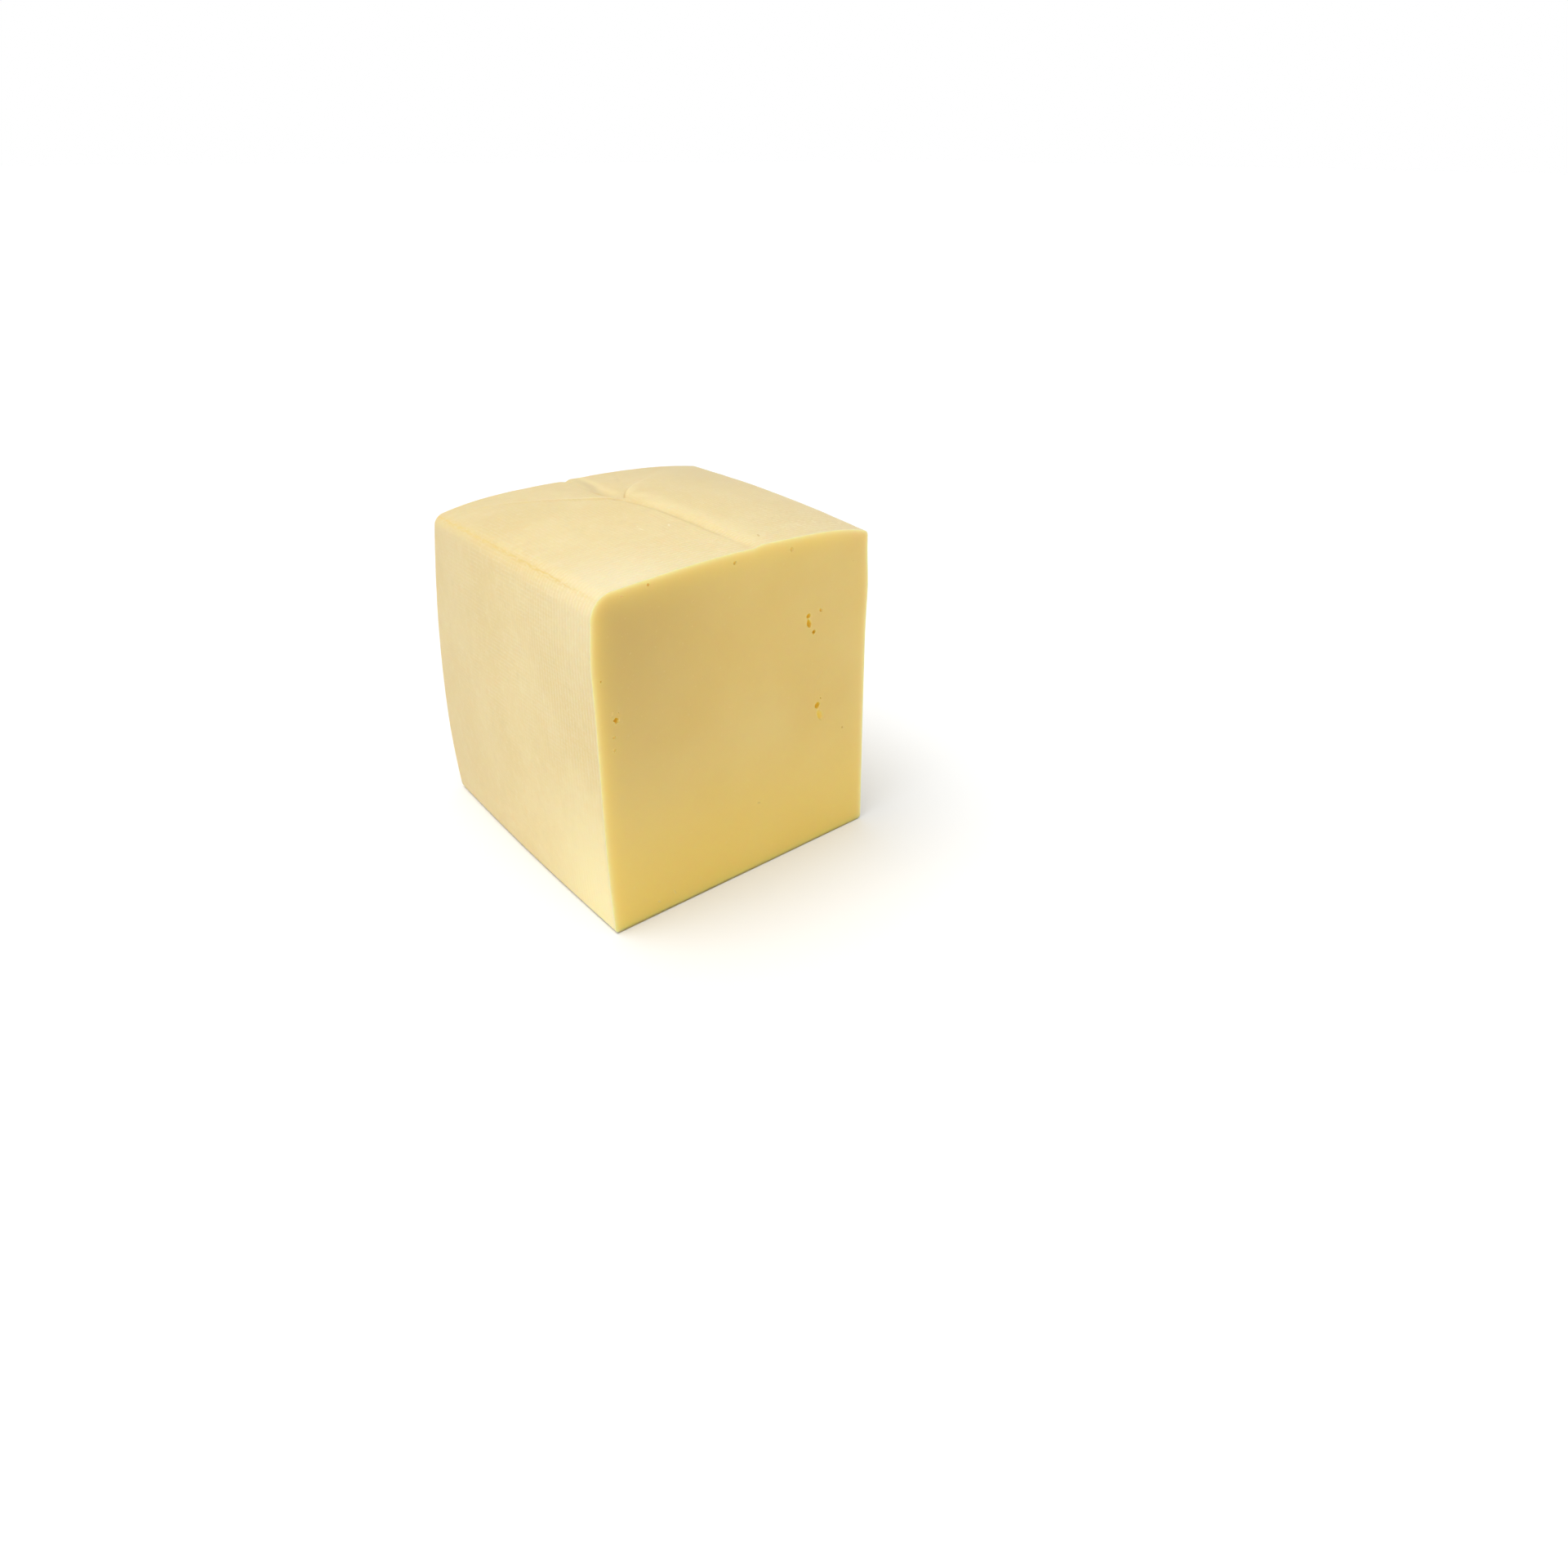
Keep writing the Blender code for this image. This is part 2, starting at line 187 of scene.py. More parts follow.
@dataclass(frozen=True)
class Flanks:
    """How far the two long sides lean, swell and bow. The shoulder's height is a share of the block's."""

    left_lean_back: float = 3.0 * MM
    right_lean_front: float = -2.2 * MM
    right_lean_back: float = 0.5 * MM
    left_swell_front: float = 1.1 * MM
    left_swell_back: float = 1.9 * MM
    left_bow: float = 0.9 * MM
    right_swell: float = -0.6 * MM
    right_bow: float = 0.5 * MM
    belly_power: float = 0.9
    shoulder: float = 0.6 * MM
    shoulder_height: float = 0.83
    shoulder_spread: float = 0.09

    def both(self, half_width: float, v: Array, w: Array) -> tuple[Array, Array]:
        """X of the left and the right side.

        Args:
            half_width: half the loaf's width.
            v: shares of the length, from the cut.
            w: shares of the height, from the underside.

        Returns:
            The left side's X and the right side's X.
        """
        shoulder = self.shoulder * (1.0 - v) * bell(w - self.shoulder_height, self.shoulder_spread)
        belly = np.sin(math.pi * np.clip(w, 0.0, 1.0) ** self.belly_power)
        bow = np.sin(math.pi * v)
        swell = mix(self.left_swell_front, self.left_swell_back, v) * belly + self.left_bow * bow
        left = -half_width + self.left_lean_back * v * w * w - swell - shoulder
        lean = mix(self.right_lean_front, self.right_lean_back, v) * w * w
        right = half_width + lean + self.right_swell * belly + self.right_bow * bow + shoulder
        return left, right


@dataclass(frozen=True)
class Crown:
    """The crowned top. Its peaks are shares of the half width."""

    front_left: float = 102.6 * MM
    front_right: float = 100.4 * MM
    back_left: float = 97.7 * MM
    back_right: float = 99.9 * MM
    front_rise: float = 3.0 * MM
    back_rise: float = 3.5 * MM
    power: float = 3.2
    front_peak: float = 0.26
    back_peak: float = -0.08
    mid_rise: float = 0.9 * MM

    def height(self, u: Array, v: Array) -> Array:
        """Height of the top.

        Args:
            u: places across, from -1 at the left to 1 at the right.
            v: shares of the length, from the cut.

        Returns:
            The heights above the underside.
        """
        s = (u + 1.0) / 2.0
        edges = mix(mix(self.front_left, self.front_right, s), mix(self.back_left, self.back_right, s), v)
        from_peak = np.abs(u - mix(self.front_peak, self.back_peak, v) * (1.0 - u * u))
        rise = mix(self.front_rise, self.back_rise, v) * (1.0 - from_peak**self.power)
        return edges + rise + self.mid_rise * np.sin(math.pi * v)


@dataclass(frozen=True)
class Seam:
    """The pressed seam, with the higher cheese in a bank on its right and a fine crease at its foot."""

    x_at_cut: float = 3.6 * MM
    x_at_fork: float = 1.9 * MM
    fork_y: float = 67.5 * MM
    fork_run: float = 2.0 * MM
    drift_power: float = 3.0
    sweep: float = 3.2 * MM
    sweep_power: float = 8.0
    depth: float = 0.55 * MM
    half_width: float = 1.3 * MM
    bank_height: float = 0.75 * MM
    bank_run: float = 1.6 * MM
    bank_reach: float = 20.0 * MM
    crease_depth: float = 0.06 * MM
    crease_half_width: float = 0.50 * MM
    crease_offset: float = 0.3
    shallow_share: float = 0.22
    shallow_until: float = 22.0 * MM
    shallow_power: float = 1.5

    def height(self, x: Array, y: Array) -> Array:
        """Height of the seam and its bank, before the fork.

        Args:
            x: places across the top.
            y: places along it.

        Returns:
            The heights.
        """
        along = np.clip(y / self.fork_y, 0.0, 1.0)
        from_seam = x - mix(self.x_at_cut, self.x_at_fork, along ** self.drift_power)
        from_groove = from_seam + self.sweep * along ** self.sweep_power
        bank = ramp(from_seam - self.half_width, self.bank_run) * fading(from_seam, self.bank_reach)
        groove = self.depth * bell(from_groove, self.half_width)
        from_crease = from_groove + self.crease_offset * self.half_width
        crease = self.crease_depth * bell(from_crease, self.crease_half_width)
        opening = np.clip(y / self.shallow_until, 0.0, 1.0) ** self.shallow_power
        return self.bank_height * bank - (groove + crease) * mix(self.shallow_share, 1.0, opening)


@dataclass(frozen=True)
class Folds:
    """The two diagonal folds from the fork to the far corners: distance ** power, in millimetres."""

    right_start: Span = (1.4 * MM, 65.1 * MM)
    left_start: Span = (0.9 * MM, 67.0 * MM)
    right_rate: float = 2.9
    right_power: float = 0.65
    right_step: float = 1.1 * MM
    right_run: float = 0.8 * MM
    right_spread: float = 0.08
    right_crease_depth: float = 0.24 * MM
    right_crease_half_width: float = 0.50 * MM
    right_crease_x: float = 2.0 * MM
    right_crease_reach: float = 2.6 * MM
    left_rate: float = 0.73
    left_power: float = 1.0
    left_ridge_from: float = 2.0 * MM
    left_run: float = 1.5 * MM
    left_ridge: float = 0.40 * MM
    left_half_width: float = 1.1 * MM
    left_trough: float = 0.2 * MM
    left_trough_offset: float = 2.2 * MM
    left_lip: float = 0.10 * MM
    left_lip_half_width: float = 0.50 * MM
    fade: float = 34.0 * MM

    @staticmethod
    def past(y: Array, distance: Array, fork_y: float, rate: float, power: float) -> Array:
        """How far places lie past a fold, along Y.

        Args:
            y: places along the top.
            distance: how far they lie to the fold's side.
            fork_y: where the fold starts.
            rate: how far along it lies at one millimetre.
            power: how that grows with the distance.

        Returns:
            The distances.
        """
        return y - (fork_y + rate * MM * (np.maximum(distance, 0.0) / MM) ** power)

    def right(self, to_right: Array, past: Array, before_fork: Array, reach: float) -> Array:
        """The pillow of cheese that ends in a step along the right-hand fold.

        Args:
            to_right: distances to the right of the fork.
            past: how far the places lie past the fold.
            before_fork: 1 before the fork and 0 after it.
            reach: how far the pillow's height falls off.

        Returns:
            The pillow's height.
        """
        pillow = (1.0 - ramp(past, self.right_run + self.right_spread * to_right)) * fading(-past, reach)
        step = self.right_step * pillow * bell(to_right, self.fade) * (1.0 - before_fork)
        crease = self.right_crease_depth * bell(past - self.right_run, self.right_crease_half_width)
        crease = crease * bell(to_right - self.right_crease_x, self.right_crease_reach)
        return step - crease * (1.0 - before_fork)

    def left(self, to_left: Array, past: Array) -> Array:
        """The thin ridge along the left-hand fold, with a shallow trough on its near side.

        Args:
            to_left: distances to the left of the fork.
            past: how far the places lie past the fold.

        Returns:
            The ridge's height.
        """
        fade = bell(to_left, self.fade) * ramp(to_left - self.left_ridge_from, self.left_run)
        ridge = self.left_ridge * bell(past, self.left_half_width)
        trough = self.left_trough * bell(past + self.left_trough_offset, self.left_half_width)
        lip = self.left_lip * bell(past, self.left_lip_half_width)
        return (ridge - trough + lip) * fade


@dataclass(frozen=True)
class Valley:
    """The dent between the folds, and the notch with a step on its right where it reaches the far end."""

    x: float = 0.8 * MM
    drift: float = 1.6 * MM
    drift_y: float = 85.0 * MM
    drift_run: float = 4.0 * MM
    run: float = 1.5 * MM
    depth: float = 1.3 * MM
    deepest_y: float = 79.0 * MM
    reach: float = 14.0 * MM
    far_share: float = 0.05
    half_width: float = 2.9 * MM
    widening: float = 0.10
    notch_x: float = -1.1 * MM
    notch_depth: float = 0.4 * MM
    notch_half_width: float = 1.2 * MM
    notch_reach: float = 9.0 * MM
    notch_step: float = 0.7 * MM
    notch_step_run: float = 0.5 * MM
    notch_step_reach: float = 12.0 * MM

    def height(self, x: Array, y: Array, past: Array, length: float) -> Array:
        """Height of the dent, the notch and its step.

        Args:
            x: places across the top.
            y: places along it.
            past: how far the places lie past the nearer fold.
            length: Y of the far end.

        Returns:
            The heights.
        """
        half_width = self.half_width + self.widening * np.maximum(y - self.deepest_y, 0.0)
        share = mix(self.far_share, 1.0, bell(y - self.deepest_y, self.reach))
        middle = self.x + self.drift * ramp(y - self.drift_y, self.drift_run)
        dent = self.depth * ramp(past, self.run) * bell(x - middle, half_width) * share
        beside = x - self.notch_x
        step = self.notch_step * ramp(beside - self.notch_step_run, self.notch_step_run)
        step = step * fading(beside, self.notch_step_reach)
        notch = self.notch_depth * bell(beside, self.notch_half_width)
        return (step - notch) * fading(length - y, self.notch_reach) - dent


@dataclass(frozen=True)
class Loaf:
    """The whole shape rule of the block, in the loaf's own frame: cut near Y = 0, left side near -X."""

    width: float = 100.0 * MM
    length: float = 105.6 * MM
    tall: float = 102.6 * MM
    cut_skew: float = math.radians(4.65)
    end_skew: float = math.radians(-0.9)
    end_lean: float = 2.5 * MM
    end_swell: float = 0.8 * MM
    pleat_depth: float = 0.5 * MM
    pleat_half_width: float = 1.6 * MM
    pleat_reach: float = 14.0 * MM
    wobble: float = 0.28 * MM
    wobble_length: float = 31.0 * MM
    top_wobble_layer: float = 0.2
    marks_from: float = 0.8
    marks_power: int = 3
    rounding: EdgeRounding = field(default_factory=EdgeRounding)
    flanks: Flanks = field(default_factory=Flanks)
    crown: Crown = field(default_factory=Crown)
    seam: Seam = field(default_factory=Seam)
    folds: Folds = field(default_factory=Folds)
    valley: Valley = field(default_factory=Valley)

    def marks(self, x: Array, y: Array) -> Array:
        """Height of the seam, the folds and the valley.

        Args:
            x: places across the top.
            y: places along it.

        Returns:
            The heights.
        """
        seam, folds = self.seam, self.folds
        before_fork = ramp(seam.fork_y - y, seam.fork_run)
        to_right, to_left = x - folds.right_start[0], folds.left_start[0] - x
        past_right = folds.past(y, to_right, folds.right_start[1], folds.right_rate, folds.right_power)
        past_left = folds.past(y, to_left, folds.left_start[1], folds.left_rate, folds.left_power)
        right = folds.right(to_right, past_right, before_fork, seam.bank_reach)
        fold = np.where(to_right > 0.0, right, folds.left(to_left, past_left))
        height = seam.height(x, y) * before_fork + fold
        return height + self.valley.height(x, y, np.minimum(past_right, past_left), self.length)

    def place(self, box: Array) -> Array:
        """Carries places of the plain box to their places on the cheese.

        Args:
            box: places on the box, measured from its left, front, bottom corner.

        Returns:
            Their places in the loaf's frame.
        """
        soft = self.rounding.soften(box, self.width, self.length, self.tall)
        u = 2.0 * soft[:, 0] / self.width - 1.0
        v = soft[:, 1] / self.length
        w = soft[:, 2] / self.tall
        left, right = self.flanks.both(self.width / 2, v, w)
        x = mix(left, right, (u + 1.0) / 2.0)
        uneven = noise_at(np.stack([x, soft[:, 1], soft[:, 2]], axis=1), self.wobble_length)
        x = x + u * w * (1.0 - w) * 4.0 * self.wobble * uneven
        end_y = self.length - self.end_lean * w * w + math.tan(self.end_skew) * x
        end_y += self.end_swell * np.sin(math.pi * w) * (1.0 - u * u)
        pleat = bell(x - self.valley.notch_x, self.pleat_half_width)
        pleat = pleat * fading(self.tall - soft[:, 2], self.pleat_reach)
        end_y -= self.pleat_depth * pleat
        y = mix(math.tan(self.cut_skew) * x, end_y, v)
        layer = np.full_like(x, self.top_wobble_layer)
        pressed = self.wobble * noise_at(np.stack([x, y, layer], axis=1), self.wobble_length)
        share = np.maximum((w - self.marks_from) / (1.0 - self.marks_from), 0.0) ** self.marks_power
        z = w * self.crown.height(u, v) + share * (self.marks(x, y) + pressed)
        return np.stack([x, y, z], axis=1)

    @property
    def cut_normal(self) -> Vector:
        """The direction that the fresh cut faces."""
        return Vector((math.sin(self.cut_skew), -math.cos(self.cut_skew), 0.0))

    @property
    def cut_across(self) -> Vector:
        """The direction along the cut, from left to right."""
        return Vector((math.cos(self.cut_skew), math.sin(self.cut_skew), 0.0))

    def on_cut(self, along: float, height: float) -> Vector:
        """A place on the cut, in the loaf's frame.

        Args:
            along: distance from the loaf's left edge, in millimetres.
            height: height above the underside, in millimetres.

        Returns:
            The place, in metres.
        """
        edge = Vector((-self.width / 2, -self.width / 2 * math.tan(self.cut_skew), 0.0))
        return edge + self.cut_across * along * MM + Vector((0.0, 0.0, height * MM))


# ---------------------------------------------------------------- node trees


class Value:
    """A number's socket, with arithmetic that adds the Math nodes."""

    def __init__(self, graph: "Graph", socket: bpy.types.NodeSocket) -> None:
        """Wraps a socket of a graph."""
        self.graph, self.socket = graph, socket

    def __add__(self, other: Any) -> "Value":
        """Sum."""
        return self.graph.maths("ADD", self, other)

    __radd__ = __add__

    def __sub__(self, other: Any) -> "Value":
        """Difference."""
        return self.graph.maths("SUBTRACT", self, other)

    def __rsub__(self, other: Any) -> "Value":
        """Difference from a plain number."""
        return self.graph.maths("SUBTRACT", other, self)

    def __mul__(self, other: Any) -> "Value":
        """Product."""
        return self.graph.maths("MULTIPLY", self, other)

    __rmul__ = __mul__

    def __truediv__(self, other: Any) -> "Value":
        """Quotient."""
        return self.graph.maths("DIVIDE", self, other)

    def __rtruediv__(self, other: Any) -> "Value":
        """Quotient of a plain number."""
        return self.graph.maths("DIVIDE", other, self)

    def __pow__(self, other: Any) -> "Value":
        """Power."""
        return self.graph.maths("POWER", self, other)

    def sine(self) -> "Value":
        """Sine of an angle in radians."""
        return self.graph.maths("SINE", self)

    def at_least(self, low: float) -> "Value":
        """The number, or low where it is lower."""
        return self.graph.maths("MAXIMUM", self, low)

    def at_most(self, high: Any) -> "Value":
        """The number, or high where it is higher."""
        return self.graph.maths("MINIMUM", self, high)

    def bell(self, half_width: Any) -> "Value":
        """1 at zero, falling smoothly to 0 on both sides."""
        share = self / half_width
        return self.graph.maths("EXPONENT", share * share * -1.0)

    def about(self, middle: float, half_width: float) -> "Value":
        """1 at the middle, falling smoothly to 0 on both sides; both in millimetres."""
        return (self - middle * MM).bell(half_width * MM)

    def fading(self, reach: float) -> "Value":
        """1 at zero, falling off with the distance."""
        return self.graph.maths("EXPONENT", self * (-1.0 / reach))

    def between(self, low: float, high: float) -> "Value":
        """0 below low and 1 above high, smoothly in between."""
        sockets = {"Value": self, "From Min": low, "From Max": high}
        return self.graph.value("ShaderNodeMapRange", {"interpolation_type": "SMOOTHSTEP"}, sockets, "Result")

    def rise(self, low: float, high: float) -> "Value":
        """0 below low and 1 above high, smoothly in between; both in millimetres."""
        return self.between(low * MM, high * MM)

    def lifted(self, least: float) -> "Value":
        """The same mask, squeezed so that it never falls below least."""
        return self * (1.0 - least) + least


class Graph:
    """A node tree that is written as expressions, for a material or for geometry."""

    def __init__(self, tree: bpy.types.NodeTree) -> None:
        """Starts on an empty tree."""
        self.tree = tree
        tree.nodes.clear()

    @staticmethod
    def find(sockets: Any, key: Any) -> bpy.types.NodeSocket:
        """A node's socket.

        Args:
            sockets: the node's inputs or outputs.
            key: the socket's number, its identifier or its name.

        Returns:
            The socket.
        """
        if isinstance(key, int):
            return sockets[key]
        for socket in sockets:
            if socket.identifier == key:
                return socket
        return next(socket for socket in sockets if socket.name == key and socket.enabled)

    def node(self, kind: str, settings: dict[str, Any] | None = None,
             sockets: dict[Any, Any] | None = None) -> bpy.types.Node:
        """Adds a node.

        Args:
            kind: the node's type.
            settings: its properties, which are set first.
            sockets: values or links for its input sockets, by number, identifier or name.

        Returns:
            The node.
        """
        node = self.tree.nodes.new(kind)
        for name, setting in (settings or {}).items():
            setattr(node, name, setting)
        for key, value in (sockets or {}).items():
            self.feed(self.find(node.inputs, key), value)
        return node

    def feed(self, socket: bpy.types.NodeSocket, value: Any) -> None:
        """Links a value to an input socket, or sets the socket.

        Args:
            socket: the input socket.
            value: a Value, a node's output, or a plain value.
        """
        if isinstance(value, Value):
            value = value.socket
        if isinstance(value, bpy.types.NodeSocket):
            self.tree.links.new(value, socket)
        elif isinstance(value, tuple) and len(value) == 3 and socket.type == "RGBA":
            socket.default_value = (*value, 1.0)
        else:
            socket.default_value = value

    def value(self, kind: str, settings: dict[str, Any] | None = None,
              sockets: dict[Any, Any] | None = None, output: Any = 0) -> Value:
        """Adds a node and returns one of its outputs as a number."""
        return Value(self, self.find(self.node(kind, settings, sockets).outputs, output))

    def maths(self, operation: str, *numbers: Any) -> Value:
        """A Math node on one, two or three numbers."""
        return self.value("ShaderNodeMath", {"operation": operation}, dict(enumerate(numbers)))

    def vector(self, operation: str, sockets: dict[Any, Any]) -> Any:
        """A Vector Math node's vector."""
        return self.node("ShaderNodeVectorMath", {"operation": operation}, sockets).outputs[0]

    def noise(self, vector: Any, grain: "Grain") -> Value:
        """Smooth noise from 0 to 1, at coordinates in metres.

        Args:
            vector: the coordinates.
            grain: its size and layers.

        Returns:
            The noise.
        """
        sockets = {"Vector": vector, "Scale": 1.0 / grain.size, "Detail": grain.detail,
                   "Roughness": grain.roughness}
        return self.value("ShaderNodeTexNoise", {"noise_dimensions": "3D"}, sockets)

    def blend(self, share: Any, a: Any, b: Any) -> Any:
        """A colour between a and b.

        Args:
            share: how far it lies from a to b.
            a: the first colour.
            b: the second colour.

        Returns:
            The colour.
        """
        sockets = {"Factor_Float": share, "A_Color": a, "B_Color": b}
        mixer = self.node("ShaderNodeMix", {"data_type": "RGBA", "clamp_factor": True}, sockets)
        return self.find(mixer.outputs, "Result_Color")

    def coats(self, colour: Any, coats: Iterable[tuple[Any, Any]]) -> Any:
        """Lays tints over a colour, one after another.

        Args:
            colour: the colour under them.
            coats: the share and the colour of each.

        Returns:
            The colour on top.
        """
        for share, tint in coats:
            colour = self.blend(share, colour, tint)
        return colour

    def parts(self, vector: Any) -> list[Value]:
        """The three numbers of a vector."""
        return [Value(self, out) for out in self.node("ShaderNodeSeparateXYZ", None, {0: vector}).outputs]

    def combine(self, x: Any, y: Any, z: Any) -> Any:
        """A vector of three numbers."""
        return self.node("ShaderNodeCombineXYZ", None, {0: x, 1: y, 2: z}).outputs[0]

    def surface(self, sockets: dict[Any, Any], height: Any = None) -> None:
        """Ends a material in its shader.

        Args:
            sockets: the shader's sockets and their values.
            height: the finest relief, in millimetres, or None where there is none.
        """
        if height is not None:
            bump = self.node("ShaderNodeBump", None, {"Strength": 1.0, "Distance": MM, "Height": height})
            sockets = {**sockets, "Normal": bump.outputs[0]}
        shader = self.node("ShaderNodeBsdfPrincipled", None, sockets)
        self.node("ShaderNodeOutputMaterial", None, {"Surface": shader.outputs[0]})


@dataclass(frozen=True)
class Grain:
    """A noise pattern: the size of its waves, how many finer layers it has and how strong they are."""

    size: float
    detail: float = 2.0
    roughness: float = 0.5


def named_socket(tree: bpy.types.NodeTree, name: str, kind: str, way: str, value: Any = None) -> str:
    """Adds a named socket to a geometry tree's interface.

    Args:
        tree: the tree.
        name: the socket's name.
        kind: its type.
        way: INPUT or OUTPUT.
        value: the value it starts with.

    Returns:
        The socket's identifier.
    """
    socket = tree.interface.new_socket(name=name, in_out=way, socket_type=kind)
    if value is not None:
        socket.default_value = value
    return socket.identifier


class GeometryTree(Graph):
    """A geometry node tree with named inputs, which is run on an object and leaves a plain mesh."""

    def __init__(self, name: str, sizes: dict[str, float | int]) -> None:
        """Makes the tree and its inputs.

        Args:
            name: the tree's name.
            sizes: the named inputs and their values; a whole number makes a whole-number input.
        """
        super().__init__(bpy.data.node_groups.new(name, "GeometryNodeTree"))
        named_socket(self.tree, "Geometry", "NodeSocketGeometry", "INPUT")
        self.sizes = sizes
        self.keys = {}
        for label, value in sizes.items():
            kind = "NodeSocketInt" if isinstance(value, int) else "NodeSocketFloat"
            self.keys[label] = named_socket(self.tree, label, kind, "INPUT", value)
        named_socket(self.tree, "Geometry", "NodeSocketGeometry", "OUTPUT")
        self.inputs = self.node("NodeGroupInput")
        self.outputs = self.node("NodeGroupOutput")

    def size(self, label: str) -> Value:
        """A named input."""
        return Value(self, self.find(self.inputs.outputs, self.keys[label]))

    def attribute(self, name: str) -> Value:
        """A number stored on the mesh."""
        kind = "GeometryNodeInputNamedAttribute"
        return self.value(kind, {"data_type": "FLOAT"}, {"Name": name}, "Attribute")

    def finish(self, geometry: Any, materials: Iterable[tuple[bpy.types.Material, Any]]) -> None:
        """Ends the tree in Realize Instances and Set Material.

        Args:
            geometry: what the tree has made.
            materials: each material, and the selection it goes on, or True for all.
        """
        result = self.node("GeometryNodeRealizeInstances", None, {"Geometry": geometry}).outputs[0]
        for material, selection in materials:
            sockets = {"Geometry": result, "Selection": selection, "Material": material}
            result = self.node("GeometryNodeSetMaterial", None, sockets).outputs[0]
        self.feed(self.find(self.outputs.inputs, "Geometry"), result)

    def run(self, obj: bpy.types.Object) -> None:
        """Runs the tree on an object, and leaves a plain mesh with no modifier.

        Args:
            obj: the object.
        """
        modifier = obj.modifiers.new(self.tree.name, "NODES")
        modifier.node_group = self.tree
        for label, value in self.sizes.items():
            modifier[self.keys[label]] = value
        make_plain(obj)


def make_plain(obj: bpy.types.Object) -> None:
    """Turns an object's evaluated shape into its mesh, and removes its modifiers.

    Args:
        obj: the object.
    """
    graph = bpy.context.evaluated_depsgraph_get()
    evaluated = obj.evaluated_get(graph)
    mesh = bpy.data.meshes.new_from_object(evaluated, preserve_all_data_layers=True, depsgraph=graph)
    obj.modifiers.clear()
    old, obj.data = obj.data, mesh
    mesh.name = obj.name
    bpy.data.meshes.remove(old)


def new_object(name: str, mesh: bpy.types.Mesh) -> bpy.types.Object:
    """Puts a mesh into the scene as an object at the origin.

    Args:
        name: the object's name.
        mesh: its mesh, or a curve.

    Returns:
        The object.
    """
    obj = bpy.data.objects.new(name, mesh)
    bpy.context.scene.collection.objects.link(obj)
    return obj


# ---------------------------------------------------------------- finishes


def new_material(name: str) -> tuple[bpy.types.Material, Graph, Any]:
    """An empty node material, its graph, and its places on the piece.

    Args:
        name: the material's name.

    Returns:
        The material, its graph, and the socket of the places.
    """
    material = bpy.data.materials.new(name)
    material.use_nodes = True
    graph = Graph(material.node_tree)
    return material, graph, graph.node("ShaderNodeTexCoord").outputs["Object"]


@dataclass(frozen=True)
class Glow:
    """How light goes through the cheese: the same all over a surface."""

    weight: float
    scale: float
    radius: Colour = (1.0, 0.52, 0.16)

    def sockets(self) -> dict[str, Any]:
        """The shader's own sockets for it."""
        return {"Subsurface Weight": self.weight, "Subsurface Scale": self.scale,
                "Subsurface Radius": self.radius}


@dataclass(frozen=True)
class RindSpot:
    """A small fleck in the rind: x from the loaf's middle, distance from the cut, half sizes (mm), tilt."""

    x: float
    from_cut: float
    half_width: float
    half_length: float
    tilt: float
    strength: float
    edge: Span = (1.6, 0.3)

    def mask(self, x: Value, y: Value) -> Value:
        """The fleck's share at a place.

        Args:
            x: places across, in the loaf's frame.
            y: places along.

        Returns:
            Its strength on the fleck, and 0 off it.
        """
        c, s = math.cos(math.radians(self.tilt)), math.sin(math.radians(self.tilt))
        dx, dy = x - self.x * MM, y - self.from_cut * MM
        across = (dx * c + dy * s) / (self.half_width * MM)
        along = (dy * c - dx * s) / (self.half_length * MM)
        return (across * across + along * along).between(*self.edge) * self.strength


PALE_FLECKS = (
    RindSpot(-4.2, 31.8, 0.35, 1.1, -25.0, 0.8),
    RindSpot(-12.6, 33.4, 0.30, 1.3, 10.0, 0.8),
    RindSpot(-12.0, 36.4, 0.25, 0.6, -20.0, 0.6),
    RindSpot(27.6, 12.0, 0.35, 1.6, 6.0, 0.5),
    RindSpot(34.4, 12.8, 0.30, 1.8, -8.0, 0.5),
    RindSpot(42.5, 11.0, 0.35, 1.1, -20.0, 0.4),
)
DARK_FLECKS = (RindSpot(10.7, 8.3, 0.35, 1.2, -25.0, 0.7),)


@dataclass(frozen=True)
class Patch:
    """A soft patch on the top: middle and half width across and along, in millimetres, and its strength."""

    across: Span
    along: Span
    strength: float = 1.0

    def mask(self, x: Value, y: Value) -> Value:
        """Its strength in its middle, falling off all round."""
        return x.about(*self.across) * y.about(*self.along) * self.strength


